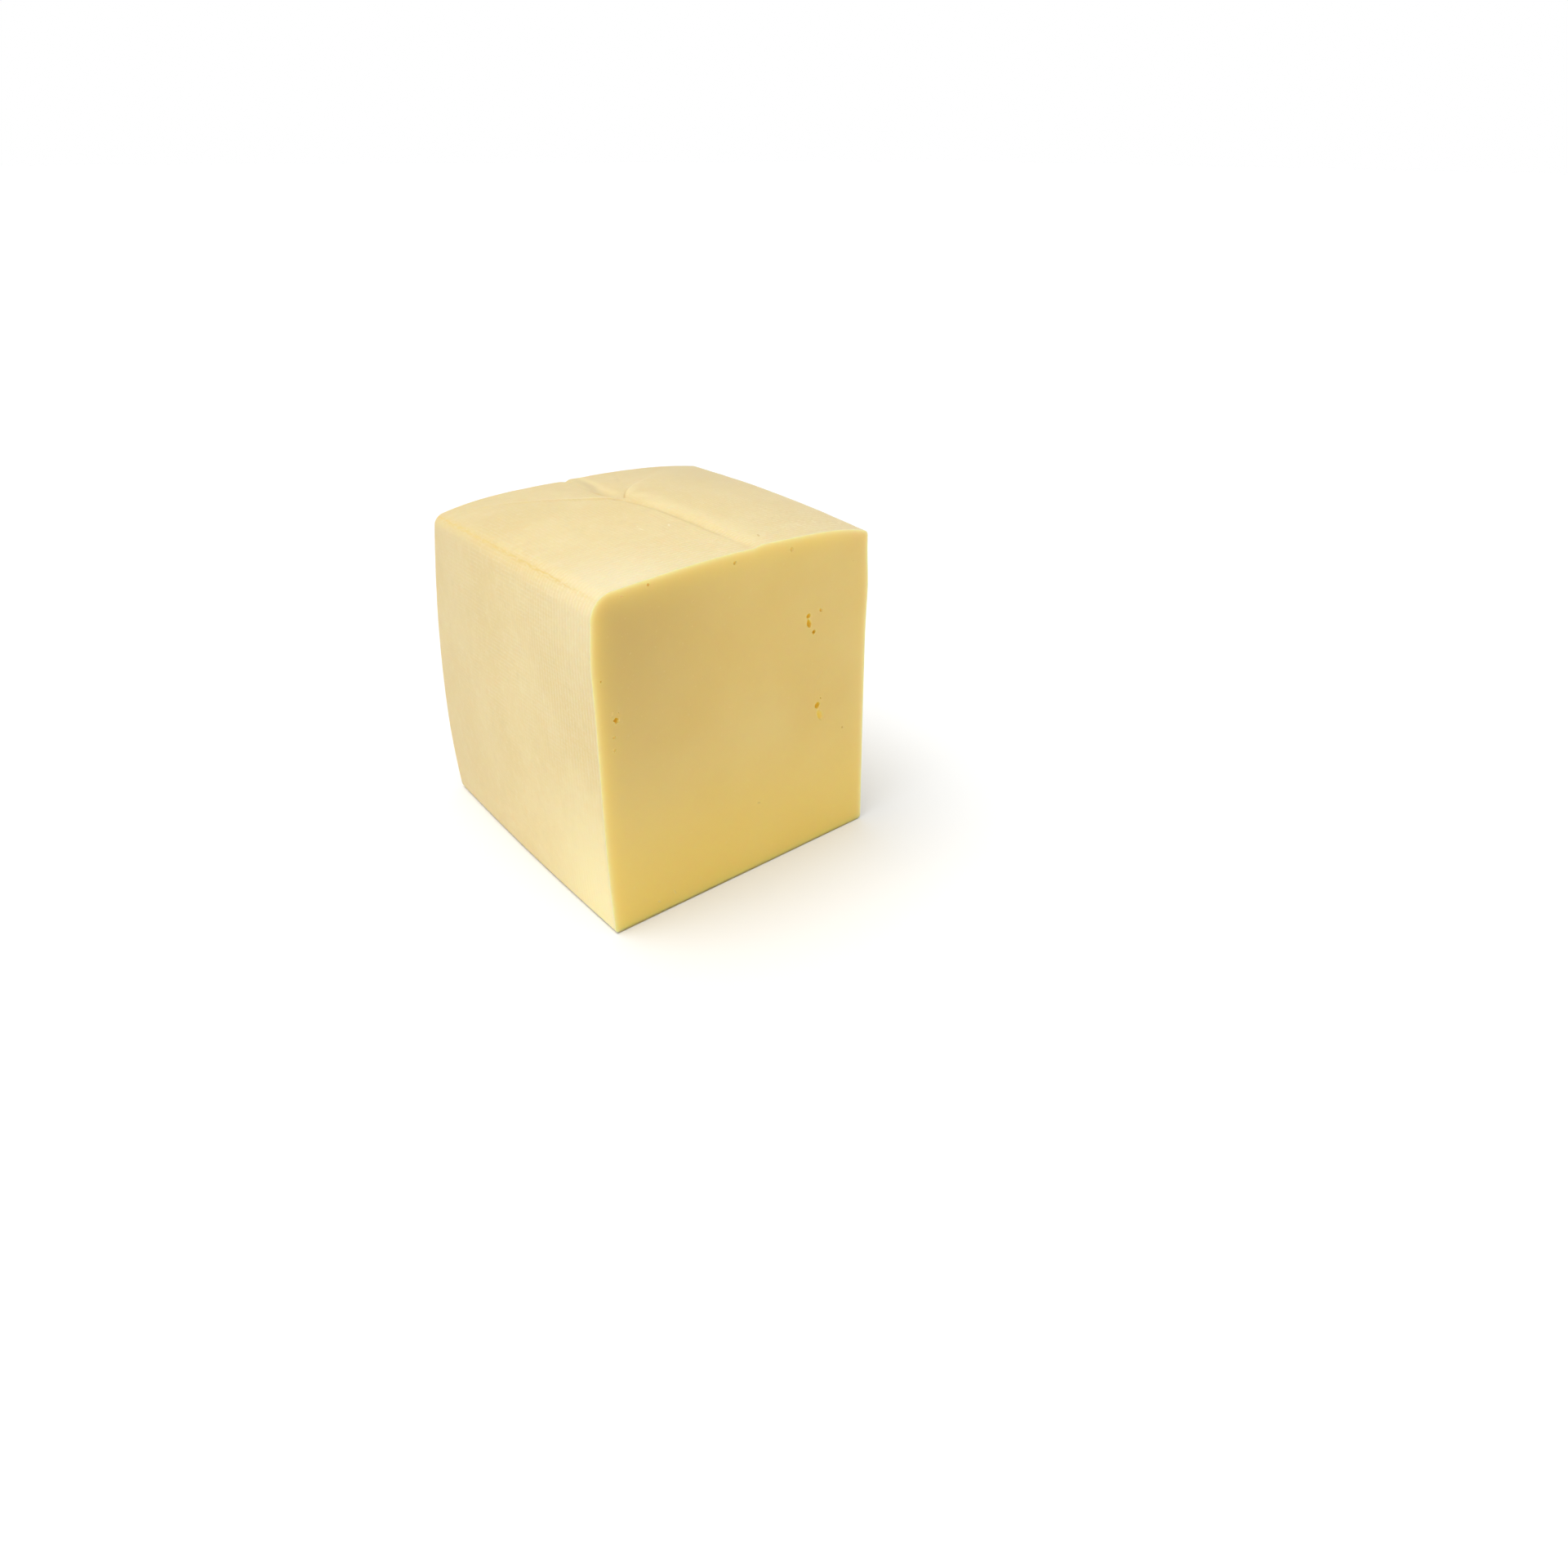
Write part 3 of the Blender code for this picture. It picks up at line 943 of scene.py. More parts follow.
@dataclass(frozen=True)
class LineTraces:
    """Where the painted light and shade lie beside the pressed lines: middle and half width, or two ends, in
    millimetres.
    """

    top_shares: Span = (0.84, 0.96)
    before_fork: Span = (-1.0, 2.0)
    drift: Span = (82.0, 91.0)
    on_right: Span = (-0.1, 0.4)
    bank: Span = (4.0, 3.4)
    bank_nose: Span = (-2.4, 2.2)
    bank_nose_reach: Span = (3.0, 6.0)
    ridge_half_width: float = 0.50 * MM
    ridge_starts: Span = (0.5, 4.0)
    ridge_reach: float = 24.0 * MM
    seam: Span = (-0.75, 0.85)
    seam_starts: Span = (4.0, 40.0)
    seam_least: float = 0.3
    nose: Span = (0.6, 0.60)
    nose_reach: Span = (1.4, 2.2)
    fold: Span = (0.9, 0.9)
    fold_reach: float = 15.0 * MM
    foot: Span = (-1.1, 0.60)
    foot_starts: Span = (0.0, 2.5)
    foot_reach: float = 22.0 * MM
    seam_share: float = 0.75
    fold_share: float = 0.45
    valley: Span = (-0.3, 2.2)
    valley_half_width: float = 12.0 * MM
    valley_share: float = 0.22
    dull_patch: Patch = Patch((-8.5, 1.6), (90.5, 3.0), 0.28)
    far_patch: Patch = Patch((-0.4, 1.6), (91.0, 9.0), 0.75)
    far_drift: float = 2.2
    tuck: Patch = Patch((10.0, 0.9), (90.0, 4.0), 0.5)
    tuck_from: float = 86.0 * MM
    tuck_slope: float = 0.5
    hollow: Patch = Patch((-1.2, 1.6), (78.5, 4.0))
    flank: Span = (3.2, 1.3)
    flank_drift: float = 1.2
    flank_starts: Span = (72.0, 78.0)
    flank_past: Span = (0.8, 4.0)


class PressedLines:
    """The seam, the folds and the valley as a material reads them: places on the top and distances."""

    def __init__(self, loaf: Loaf, x: Value, y: Value, z: Value) -> None:
        """Works out the distances.

        Args:
            loaf: the block's shape.
            x: places across, in the loaf's frame.
            y: places along.
            z: heights.
        """
        seam, folds = loaf.seam, loaf.folds
        self.traces = traces = LineTraces()
        self.x, self.y = x, y
        self.on_top = z.between(*(share * loaf.tall for share in traces.top_shares))
        along = (y / seam.fork_y).at_least(0.0).at_most(1.0)
        self.from_seam = x - along ** seam.drift_power * (seam.x_at_fork - seam.x_at_cut) - seam.x_at_cut
        self.from_groove = self.from_seam + along ** seam.sweep_power * seam.sweep
        self.to_right = (x - folds.right_start[0]).at_least(0.0)
        self.to_left = (folds.left_start[0] - x).at_least(0.0)
        right = (self.to_right / MM) ** folds.right_power * (folds.right_rate * MM)
        left = (self.to_left / MM) ** folds.left_power * (folds.left_rate * MM)
        self.past_right = y - folds.right_start[1] - right
        self.past_left = y - folds.left_start[1] - left
        self.before_fork = (seam.fork_y - y).rise(*traces.before_fork)
        self.drift = y.rise(*traces.drift) * MM
        self.on_right = (x - folds.right_start[0]).rise(*traces.on_right)

    def bank(self) -> Value:
        """Painted highlight on the lit slope of the bank right of the seam, and on the pillow's nose.

        Returns:
            Its share.
        """
        traces = self.traces
        beside = self.from_seam.about(*traces.bank) * self.before_fork
        nose = self.past_right.about(*traces.bank_nose) * self.to_right.about(*traces.bank_nose_reach)
        return (beside + nose * self.on_right * (1.0 - self.before_fork)) * self.on_top

    def ridge(self) -> Value:
        """Painted highlight on the lit crest of the left-hand fold."""
        fade = self.to_left.rise(*self.traces.ridge_starts) * self.to_left.bell(self.traces.ridge_reach)
        return self.past_left.bell(self.traces.ridge_half_width) * fade * self.on_top

    def crease_shade(self) -> Value:
        """Painted shade in the foot of the seam and of the folds.

        Returns:
            Its share.
        """
        traces = self.traces
        seam = self.from_groove.about(*traces.seam) * self.before_fork
        seam = seam * self.y.rise(*traces.seam_starts).lifted(traces.seam_least)
        nose = self.past_right.about(*traces.nose) * self.on_right * self.to_right.about(*traces.nose_reach)
        fold = self.past_right.about(*traces.fold) * self.on_right * self.to_right.bell(traces.fold_reach)
        foot = self.past_left.about(*traces.foot) * self.to_left.bell(traces.foot_reach)
        foot = foot * self.to_left.rise(*traces.foot_starts)
        return ((seam + nose) * traces.seam_share + (fold + foot) * traces.fold_share) * self.on_top

    def valley(self) -> Value:
        """Painted shade in the dent between the folds, darkest where it starts.

        Returns:
            Its share.
        """
        traces = self.traces
        inside = self.past_right.at_most(self.past_left).rise(*traces.valley)
        dull = traces.dull_patch.mask(self.x, self.y)
        far = traces.far_patch.mask(self.x - self.drift * traces.far_drift, self.y)
        tuck = traces.tuck.mask(self.x - (self.y - traces.tuck_from) * traces.tuck_slope, self.y)
        wide = self.x.bell(traces.valley_half_width) * traces.valley_share
        return inside * (dull + far + wide + tuck) * self.on_top

    def hollow(self) -> Value:
        """Painted brownish shadow in the hollow just behind the fork, where the two folds tuck under."""
        return self.traces.hollow.mask(self.x, self.y) * self.on_top

    def lit_flank(self) -> Value:
        """The paler right flank of the valley.

        Returns:
            Its share.
        """
        traces = self.traces
        flank = (self.x - self.drift * traces.flank_drift).about(*traces.flank)
        flank = flank * self.y.rise(*traces.flank_starts)
        return flank * self.past_right.rise(*traces.flank_past) * self.on_top


@dataclass(frozen=True)
class RindShares:
    """How strongly each mark tints the rind."""

    fine: float = 0.35
    grain: float = 0.20
    mottle: float = 0.16
    spots: float = 0.35
    painted_shade_right: float = 0.50
    dull_back: float = 0.35
    floor_bounce: float = 0.9
    near_corner: float = 0.70
    valley: float = 0.80
    hollow: float = 0.55
    lit_flank: float = 0.35
    bank: float = 0.36
    crease_shade: float = 0.55
    ridge: float = 0.50
    near_ribs: float = 0.22
    weave: float = 0.34
    lace: float = 0.40
    streak: float = 0.85
    rib_glints: float = 0.55
    rim: float = 0.75


@dataclass(frozen=True)
class Cloth:
    """The pressing cloth: its ribs next to the cut, its threads, and how they sway."""

    rib_pitch: float = 1.5 * MM
    thread_pitch: float = 1.3 * MM
    rib_reach: float = 34.0 * MM
    sway: Grain = Grain(9.0 * MM, 1.0)
    sway_turn: float = 2.4
    row_power: float = 1.6
    dash_length: float = 1.6
    dash_width: float = 0.9
    dash_shift: float = 0.002
    dashes: Grain = Grain(1.0 * MM, 1.0)
    dash_span: Span = (0.34, 0.60)
    dash_least: float = 0.25
    patches: Grain = Grain(13.0 * MM, 3.0)
    rib_patch: Span = (0.26, 0.52)
    rib_patch_least: float = 0.4
    rib_heights: Span = (15.0, 80.0)
    rib_least: float = 0.25
    thread_patch: Span = (0.66, 0.38)
    thread_heights: Span = (30.0, 62.0)
    thread_shares: Span = (0.25, 0.60)
    thread_zone: Span = (42.0, 42.0)
    thread_strength: float = 0.75

    def threads(self, graph: Graph, across: Value, along: Value, sway: Value, pitch: float) -> Value:
        """One family of cloth threads, printed as rows of short dashes.

        Args:
            graph: the material's graph.
            across: distance across the threads.
            along: distance along them.
            sway: noise that bends them a little.
            pitch: their distance apart.

        Returns:
            Their height, from 0 to 1.
        """
        row = (across * (math.tau / pitch) + sway * self.sway_turn).sine() * 0.5 + 0.5
        place = graph.combine(along / self.dash_length, across / self.dash_width, sway * self.dash_shift)
        dashes = graph.noise(place, self.dashes).between(*self.dash_span)
        return row ** self.row_power * dashes.lifted(self.dash_least)

    def weave(self, graph: Graph, around: Value, from_cut: Value, place: Any) -> Value:
        """The cloth's whole imprint.

        Args:
            graph: the material's graph.
            around: distance around the loaf, on the unrolled rind.
            from_cut: distance from the cut.
            place: places in the part's frame.

        Returns:
            Its height, from 0 to about 1.
        """
        sway = graph.noise(place, self.sway)
        patch = graph.noise(place, self.patches)
        ribs = self.threads(graph, from_cut, around, sway, self.rib_pitch)
        threads = self.threads(graph, around, from_cut, sway, self.thread_pitch)
        rib_share = from_cut.bell(self.rib_reach) * patch.between(*self.rib_patch).lifted(self.rib_patch_least)
        rib_share = rib_share * around.rise(*self.rib_heights).lifted(self.rib_least)
        low, gain = self.thread_shares
        upper = around.rise(*self.thread_heights) * gain + low
        thread_share = patch.between(*self.thread_patch) * upper * from_cut.about(*self.thread_zone)
        return ribs * rib_share + threads * (thread_share * self.thread_strength)


@dataclass(frozen=True)
class PressedRind:
    """The pale rind with the fine imprint of the pressing cloth."""

    colour: Colour = (0.800, 0.640, 0.315)
    deep: Colour = (0.770, 0.595, 0.270)
    # chalk: the rind's pale tone, also the tint of the painted highlight on the left fold's crest and on the
    # cloth's threads
    chalk: Colour = (0.880, 0.765, 0.480)
    warm: Colour = (0.800, 0.580, 0.255)
    # the darker golden tone of the streak along the rounded top-left edge
    streak_tone: Colour = (0.760, 0.570, 0.215)
    # tint of the painted shade along the crease lines of the seam and folds, and of the one dark fleck
    crease: Colour = (0.600, 0.410, 0.140)
    # brownish tint of the painted shadow in the hollow behind the fork
    hollow_shadow_colour: Colour = (0.690, 0.455, 0.120)
    # beige: the rind's duller tone in its dark mottling, also the tint of the painted shade on the right of the
    # top and in the valley
    beige: Colour = (0.655, 0.520, 0.275)
    # pale tint of the painted highlights on the seam's bank, the valley's lit flank and the ribs along the
    # rounded edge
    bank: Colour = (0.900, 0.750, 0.385)
    # foot: pale tint of the painted bounce light from the floor, low on the left side near the cut
    foot: Colour = (0.985, 0.850, 0.450)
    rim: Colour = (0.740, 0.670, 0.370)
    shares: RindShares = RindShares()
    cloth: Cloth = Cloth()
    clouds: Grain = Grain(24.0 * MM, 3.0, 0.55)
    cloud_span: Span = (0.30, 0.72)
    fine: Grain = Grain(1.1 * MM, 3.0, 0.65)
    fine_span: Span = (0.52, 0.80)
    grain: Grain = Grain(0.42 * MM, 2.0, 0.6)
    grain_span: Span = (0.50, 0.22)
    mottle: Grain = Grain(3.4 * MM, 3.0, 0.6)
    pale_mottle: Span = (0.50, 0.72)
    dark_mottle: Span = (0.48, 0.28)
    spots: Grain = Grain(5.5 * MM, 1.0)
    spot_span: Span = (0.60, 0.76)
    painted_shade_across: Span = (2.0, 46.0)
    dull_along: Span = (40.0, 105.0)
    floor_bounce_reach: float = 30.0 * MM
    floor_bounce_heights: Span = (60.0, 5.0)
    near_corner_reach: float = 26.0 * MM
    near_corner: Span = (10.0, 22.0)
    near_ribs_reach: float = 30.0 * MM
    near_ribs: Span = (-20.0, 4.0)
    lace_pitch: float = 3.0 * MM
    lace_rows: Span = (0.55, 1.0)
    lace_stretch: Span = (0.6, 1.5)
    lace_dots: Grain = Grain(0.9 * MM, 1.0)
    lace_dot_span: Span = (0.52, 0.66)
    lace_zone: Patch = Patch((27.0, 11.0), (22.0, 26.0))
    dashes: Grain = Grain(0.9 * MM, 2.0)
    dash_length: float = 3.0
    streak: Span = (0.8, 0.9)
    streak_halo: float = 2.6 * MM
    streak_halo_share: float = 0.35
    streak_starts: Span = (2.0, 30.0)
    streak_least: float = 0.35
    streak_dashes: Span = (0.34, 0.60)
    streak_dash_least: float = 0.2
    rib_glint_rows: Span = (0.2, 1.0)
    rib_glint_dashes: Span = (0.60, 0.40)
    rib_glints: Span = (-3.2, 2.2)
    rib_glint_reach: float = 34.0 * MM
    rim_reach: float = 0.8 * MM
    weave_height: float = 0.075
    fine_height: float = 0.030
    grain_height: float = 0.022
    roughness: float = 0.56
    weave_polish: float = -0.10
    specular: float = 0.38
    glow: Glow = Glow(0.35, 3.0 * MM)

    def lace(self, graph: Graph, lines: PressedLines) -> Value:
        """Dotted pale lines that run along the right part of the top.

        Args:
            graph: the material's graph.
            lines: the places on the top.

        Returns:
            Their share.
        """
        row = (lines.x * (math.tau / self.lace_pitch)).sine().between(*self.lace_rows)
        wide, long = self.lace_stretch
        dots = graph.noise(graph.combine(lines.x / wide, lines.y / long, 0.0), self.lace_dots)
        return row * dots.between(*self.lace_dot_span) * self.lace_zone.mask(lines.x, lines.y) * lines.on_top

    def ground(self, graph: Graph, place: Any, fine: Value, grain: Value) -> Any:
        """The rind's own uneven colour.

        Args:
            graph: the material's graph.
            place: places in the part's frame.
            fine: the fine noise.
            grain: the finest noise.

        Returns:
            The colour.
        """
        shares = self.shares
        clouds, mottle = graph.noise(place, self.clouds), graph.noise(place, self.mottle)
        return graph.coats(self.deep, [
            (clouds.between(*self.cloud_span), self.colour),
            (fine.between(*self.fine_span) * shares.fine, self.chalk),
            (grain.between(*self.grain_span) * shares.grain, self.deep),
            (mottle.between(*self.pale_mottle) * shares.mottle, self.chalk),
            (mottle.between(*self.dark_mottle) * shares.mottle, self.beige),
            (graph.noise(place, self.spots).between(*self.spot_span) * shares.spots, self.warm)])

    def edge_marks(self, graph: Graph, around: Value, from_cut: Value, tall: float) -> list[tuple[Any, Colour]]:
        """The darker golden streak along the rounded edge, the painted highlights on the cloth's ribs under it,
        and the pale rim at the cut.

        Args:
            graph: the material's graph.
            around: distance around the loaf, on the unrolled rind.
            from_cut: distance from the cut.
            tall: the height of the left side.

        Returns:
            The share and the colour of each.
        """
        dashes = graph.noise(graph.combine(around, from_cut / self.dash_length, 0.0), self.dashes)
        from_edge = around - tall
        streak = from_edge.about(*self.streak) + from_edge.bell(self.streak_halo) * self.streak_halo_share
        streak = streak * from_cut.rise(*self.streak_starts).lifted(self.streak_least)
        streak = streak * dashes.between(*self.streak_dashes).lifted(self.streak_dash_least)
        # painted highlights on the crests of the cloth's ribs along the rounded edge
        rows = (from_cut * (math.tau / self.cloth.rib_pitch)).sine().between(*self.rib_glint_rows)
        rib_glints = rows * dashes.between(*self.rib_glint_dashes) * from_edge.about(*self.rib_glints)
        rib_glints = rib_glints * from_cut.bell(self.rib_glint_reach)
        return [(streak * self.shares.streak, self.streak_tone), (rib_glints * self.shares.rib_glints, self.bank),
                (from_cut.fading(self.rim_reach) * self.shares.rim, self.rim)]

    def material(self, loaf: Loaf, shift: Vector) -> bpy.types.Material:
        """Builds the node material.

        Args:
            loaf: the block's shape, whose seam and folds the colours follow.
            shift: from the loaf's frame to the part's.

        Returns:
            The material.
        """
        material, graph, place = new_material("pressed_rind")
        shares = self.shares
        around, from_cut, _ = graph.parts(graph.node("ShaderNodeUVMap", {"uv_map": "rind_uv"}).outputs[0])
        lines = PressedLines(loaf, *(part - move for part, move in zip(graph.parts(place), shift)))
        weave = self.cloth.weave(graph, around, from_cut, place)
        fine, grain = graph.noise(place, self.fine), graph.noise(place, self.grain)
        from_edge = around - loaf.tall
        # painted shade on the right part of the top, which slopes away from the light, and a plain darkening
        # towards the far end
        dull = lines.x.rise(*self.painted_shade_across) * shares.painted_shade_right
        dull = dull + from_cut.rise(*self.dull_along) * shares.dull_back
        # painted bounce light from the floor, low on the left side next to the cut
        floor_bounce = from_cut.bell(self.floor_bounce_reach) * around.rise(*self.floor_bounce_heights)
        near_corner = from_cut.bell(self.near_corner_reach) * from_edge.about(*self.near_corner)
        near_ribs = from_cut.bell(self.near_ribs_reach) * from_edge.rise(*self.near_ribs) * shares.near_ribs
        # pale tint on the cloth's threads: partly their own chalky paleness, partly painted highlight on their
        # crests
        relief = weave * (near_ribs + shares.weave) + self.lace(graph, lines) * shares.lace
        colour = graph.coats(self.ground(graph, place, fine, grain), [
            # painted shade on the right of the top, and darker towards the far end
            (dull, self.beige),
            # painted bounce light from the floor
            (floor_bounce * shares.floor_bounce, self.foot),
            (near_corner * shares.near_corner, self.chalk),
            # painted shade in the dent between the folds
            (lines.valley() * shares.valley, self.beige),
            # painted shadow in the hollow behind the fork
            (lines.hollow() * shares.hollow, self.hollow_shadow_colour),
            (lines.lit_flank() * shares.lit_flank, self.bank),
            # painted highlight on the lit bank of the seam and on the pillow's nose
            (lines.bank() * shares.bank, self.bank),
            # painted shade along the crease lines of the seam and folds
            (lines.crease_shade() * shares.crease_shade, self.crease),
            # painted highlight on the left fold's crest
            (lines.ridge() * shares.ridge, self.chalk),
            (relief, self.chalk),
            *((fleck.mask(lines.x, lines.y) * lines.on_top, self.chalk) for fleck in PALE_FLECKS),
            *((fleck.mask(lines.x, lines.y) * lines.on_top, self.crease) for fleck in DARK_FLECKS),
            *self.edge_marks(graph, around, from_cut, loaf.tall)])
        height = weave * self.weave_height + fine * self.fine_height + grain * self.grain_height
        graph.surface({"Base Color": colour, "Roughness": weave * self.weave_polish + self.roughness,
                       "Specular IOR Level": self.specular, **self.glow.sockets()}, height)
        return material


@dataclass(frozen=True)
class FreshCut:
    """The smooth cut paste, with a painted golden glow along its rim where light comes through, painted shade
    at its upper left, and painted bounce light from the floor low down.
    """

    colour: Colour = (0.790, 0.580, 0.185)
    deep: Colour = (0.770, 0.545, 0.155)
    shade: Colour = (0.625, 0.425, 0.120)
    # golden tint of the painted bounce light from the floor, on the lower part of the cut
    low: Colour = (0.880, 0.630, 0.125)
    # the golden glow painted along the cut's rim, where light comes through the rind
    rim_glow: Colour = (0.920, 0.690, 0.150)
    rim: Colour = (0.900, 0.790, 0.400)
    fleck: Colour = (0.860, 0.720, 0.400)
    rim_glow_reach: float = 3.2 * MM
    rim_glow_across: Span = (46.0, 30.0)
    rim_glow_least: float = 0.3
    rim_reach: float = 0.80 * MM
    clouds: Grain = Grain(30.0 * MM, 3.0, 0.5)
    cloud_span: Span = (0.30, 0.70)
    fine: Grain = Grain(0.9 * MM, 3.0, 0.6)
    fleck_span: Span = (0.62, 0.80)
    fleck_share: float = 0.22
    drag: Grain = Grain(0.8 * MM, 2.0)
    drag_scale: Triple = (0.10, 1.0, 1.0)
    shade_across: Span = (12.0, -50.0)
    shade_heights: Span = (25.0, 95.0)
    shade_least: float = 0.15
    shade_share: float = 0.9
    bounce_heights: Span = (55.0, 0.0)
    bounce_share: float = 0.75
    fine_height: float = 0.012
    drag_height: float = 0.006
    roughness: float = 0.40
    fine_roughness: float = 0.12
    specular: float = 0.40
    glow: Glow = Glow(0.60, 4.5 * MM)

    def material(self) -> bpy.types.Material:
        """Builds the node material.

        Returns:
            The material.
        """
        material, graph, place = new_material("fresh_cut")
        from_rim = graph.value("ShaderNodeAttribute", {"attribute_name": "from_rim"}, None, "Fac")
        fine = graph.noise(place, self.fine)
        drag = graph.noise(graph.vector("MULTIPLY", {0: place, 1: self.drag_scale}), self.drag)
        x, _, z = graph.parts(place)
        shade = x.rise(*self.shade_across) * z.rise(*self.shade_heights).lifted(self.shade_least)
        # painted glow of the light that comes through the rind, along the rim, weaker to the right
        rim_glow = from_rim.fading(self.rim_glow_reach) * x.rise(*self.rim_glow_across).lifted(self.rim_glow_least)
        colour = graph.coats(self.deep, [
            (graph.noise(place, self.clouds).between(*self.cloud_span), self.colour),
            (shade * self.shade_share, self.shade),
            # painted bounce light from the floor, low on the cut
            (z.rise(*self.bounce_heights) * self.bounce_share, self.low),
            (fine.between(*self.fleck_span) * self.fleck_share, self.fleck),
            (rim_glow, self.rim_glow),
            (from_rim.fading(self.rim_reach), self.rim)])
        graph.surface({"Base Color": colour, "Roughness": fine * self.fine_roughness + self.roughness,
                       "Specular IOR Level": self.specular, **self.glow.sockets()},
                      fine * self.fine_height + drag * self.drag_height)
        return material


@dataclass(frozen=True)
class EyeWall:
    """The moist wall of an eye, painted deeper in colour further in, for the shade and bounce light inside it.
    """

    lip: Colour = (0.850, 0.660, 0.250)
    deep: Colour = (0.900, 0.640, 0.070)
    core: Colour = (0.985, 0.605, 0.008)
    deep_span: Span = (0.05, 0.8)
    core_span: Span = (1.0, 1.5)
    fine: Grain = Grain(0.5 * MM)
    fine_height: float = 0.03
    roughness: float = 0.42
    fine_roughness: float = 0.08
    specular: float = 0.25
    glow: Glow = Glow(0.60, 2.6 * MM, (1.0, 0.70, 0.12))

    def material(self, cut_point: Vector, cut_normal: Vector) -> bpy.types.Material:
        """Builds the node material.

        Args:
            cut_point: a place on the cut, in the part's frame.
            cut_normal: the direction that the cut faces.

        Returns:
            The material.
        """
        material, graph, place = new_material("eye_wall")
        outward = graph.value("ShaderNodeVectorMath", {"operation": "DOT_PRODUCT"},
                              {0: place, 1: tuple(cut_normal)}, "Value")
        inward = cut_point.dot(cut_normal) - outward
        fine = graph.noise(place, self.fine)
        # painted shade and bounce light inside the eye: deeper orange further in from the cut
        colour = graph.coats(self.lip, [(inward.rise(*self.deep_span), self.deep),
                                        (inward.rise(*self.core_span), self.core)])
        graph.surface({"Base Color": colour, "Roughness": fine * self.fine_roughness + self.roughness,
                       "Specular IOR Level": self.specular, **self.glow.sockets()}, fine * self.fine_height)
        return material


# ---------------------------------------------------------------- the fine body


class Side(Enum):
    """The six sides of the block: the axis they face along, and whether at its high end."""

    LEFT = (0, False)
    RIGHT = (0, True)
    CUT = (1, False)
    END = (1, True)
    UNDERSIDE = (2, False)
    TOP = (2, True)


@dataclass(frozen=True)
class LoopPlan:
    """How fine the body's mesh is in each stretch."""

    corner_loops: int = 10
    edge_loops: int = 4
    plain_step: float = 1.35 * MM
    fold_step: float = 0.46 * MM
    far_step: float = 0.85 * MM
    upright_step: float = 1.7 * MM
    rib_step: float = 0.30 * MM
    ribs_to: float = 34.0 * MM
    middle_step: float = 0.75 * MM
    folds_left: float = 40.0 * MM
    folds_right: float = 59.0 * MM
    folds_near: float = 60.0 * MM
    folds_far: float = 84.0 * MM

    def places(self, loaf: Loaf) -> list[Array]:
        """Where the box is sliced.

        Args:
            loaf: the block's shape.

        Returns:
            The places along X, Y and Z, measured from the left, front and bottom faces.
        """
        edges = loaf.rounding
        across = arc_steps(edges.top_left, self.corner_loops)
        across += steps(edges.top_left, self.folds_left, self.plain_step)
        across += steps(self.folds_left, self.folds_right, self.fold_step)
        across += steps(self.folds_right, loaf.width - edges.bottom, self.plain_step)
        across += [loaf.width - place for place in arc_steps(edges.bottom, self.edge_loops)]
        along = steps(0.0, self.ribs_to, self.rib_step)
        along += steps(self.ribs_to, self.folds_near, self.middle_step)
        along += steps(self.folds_near, self.folds_far, self.fold_step)
        along += steps(self.folds_far, loaf.length - edges.end, self.far_step)
        along += [loaf.length - place for place in arc_steps(edges.end, self.edge_loops)]
        up = arc_steps(edges.bottom, self.edge_loops)
        up += steps(edges.bottom, loaf.tall - edges.top_left, self.upright_step)
        up += [loaf.tall - place for place in arc_steps(edges.top_left, self.corner_loops)]
        return [np.unique(np.round(places, 7)) for places in (across, along, up)]


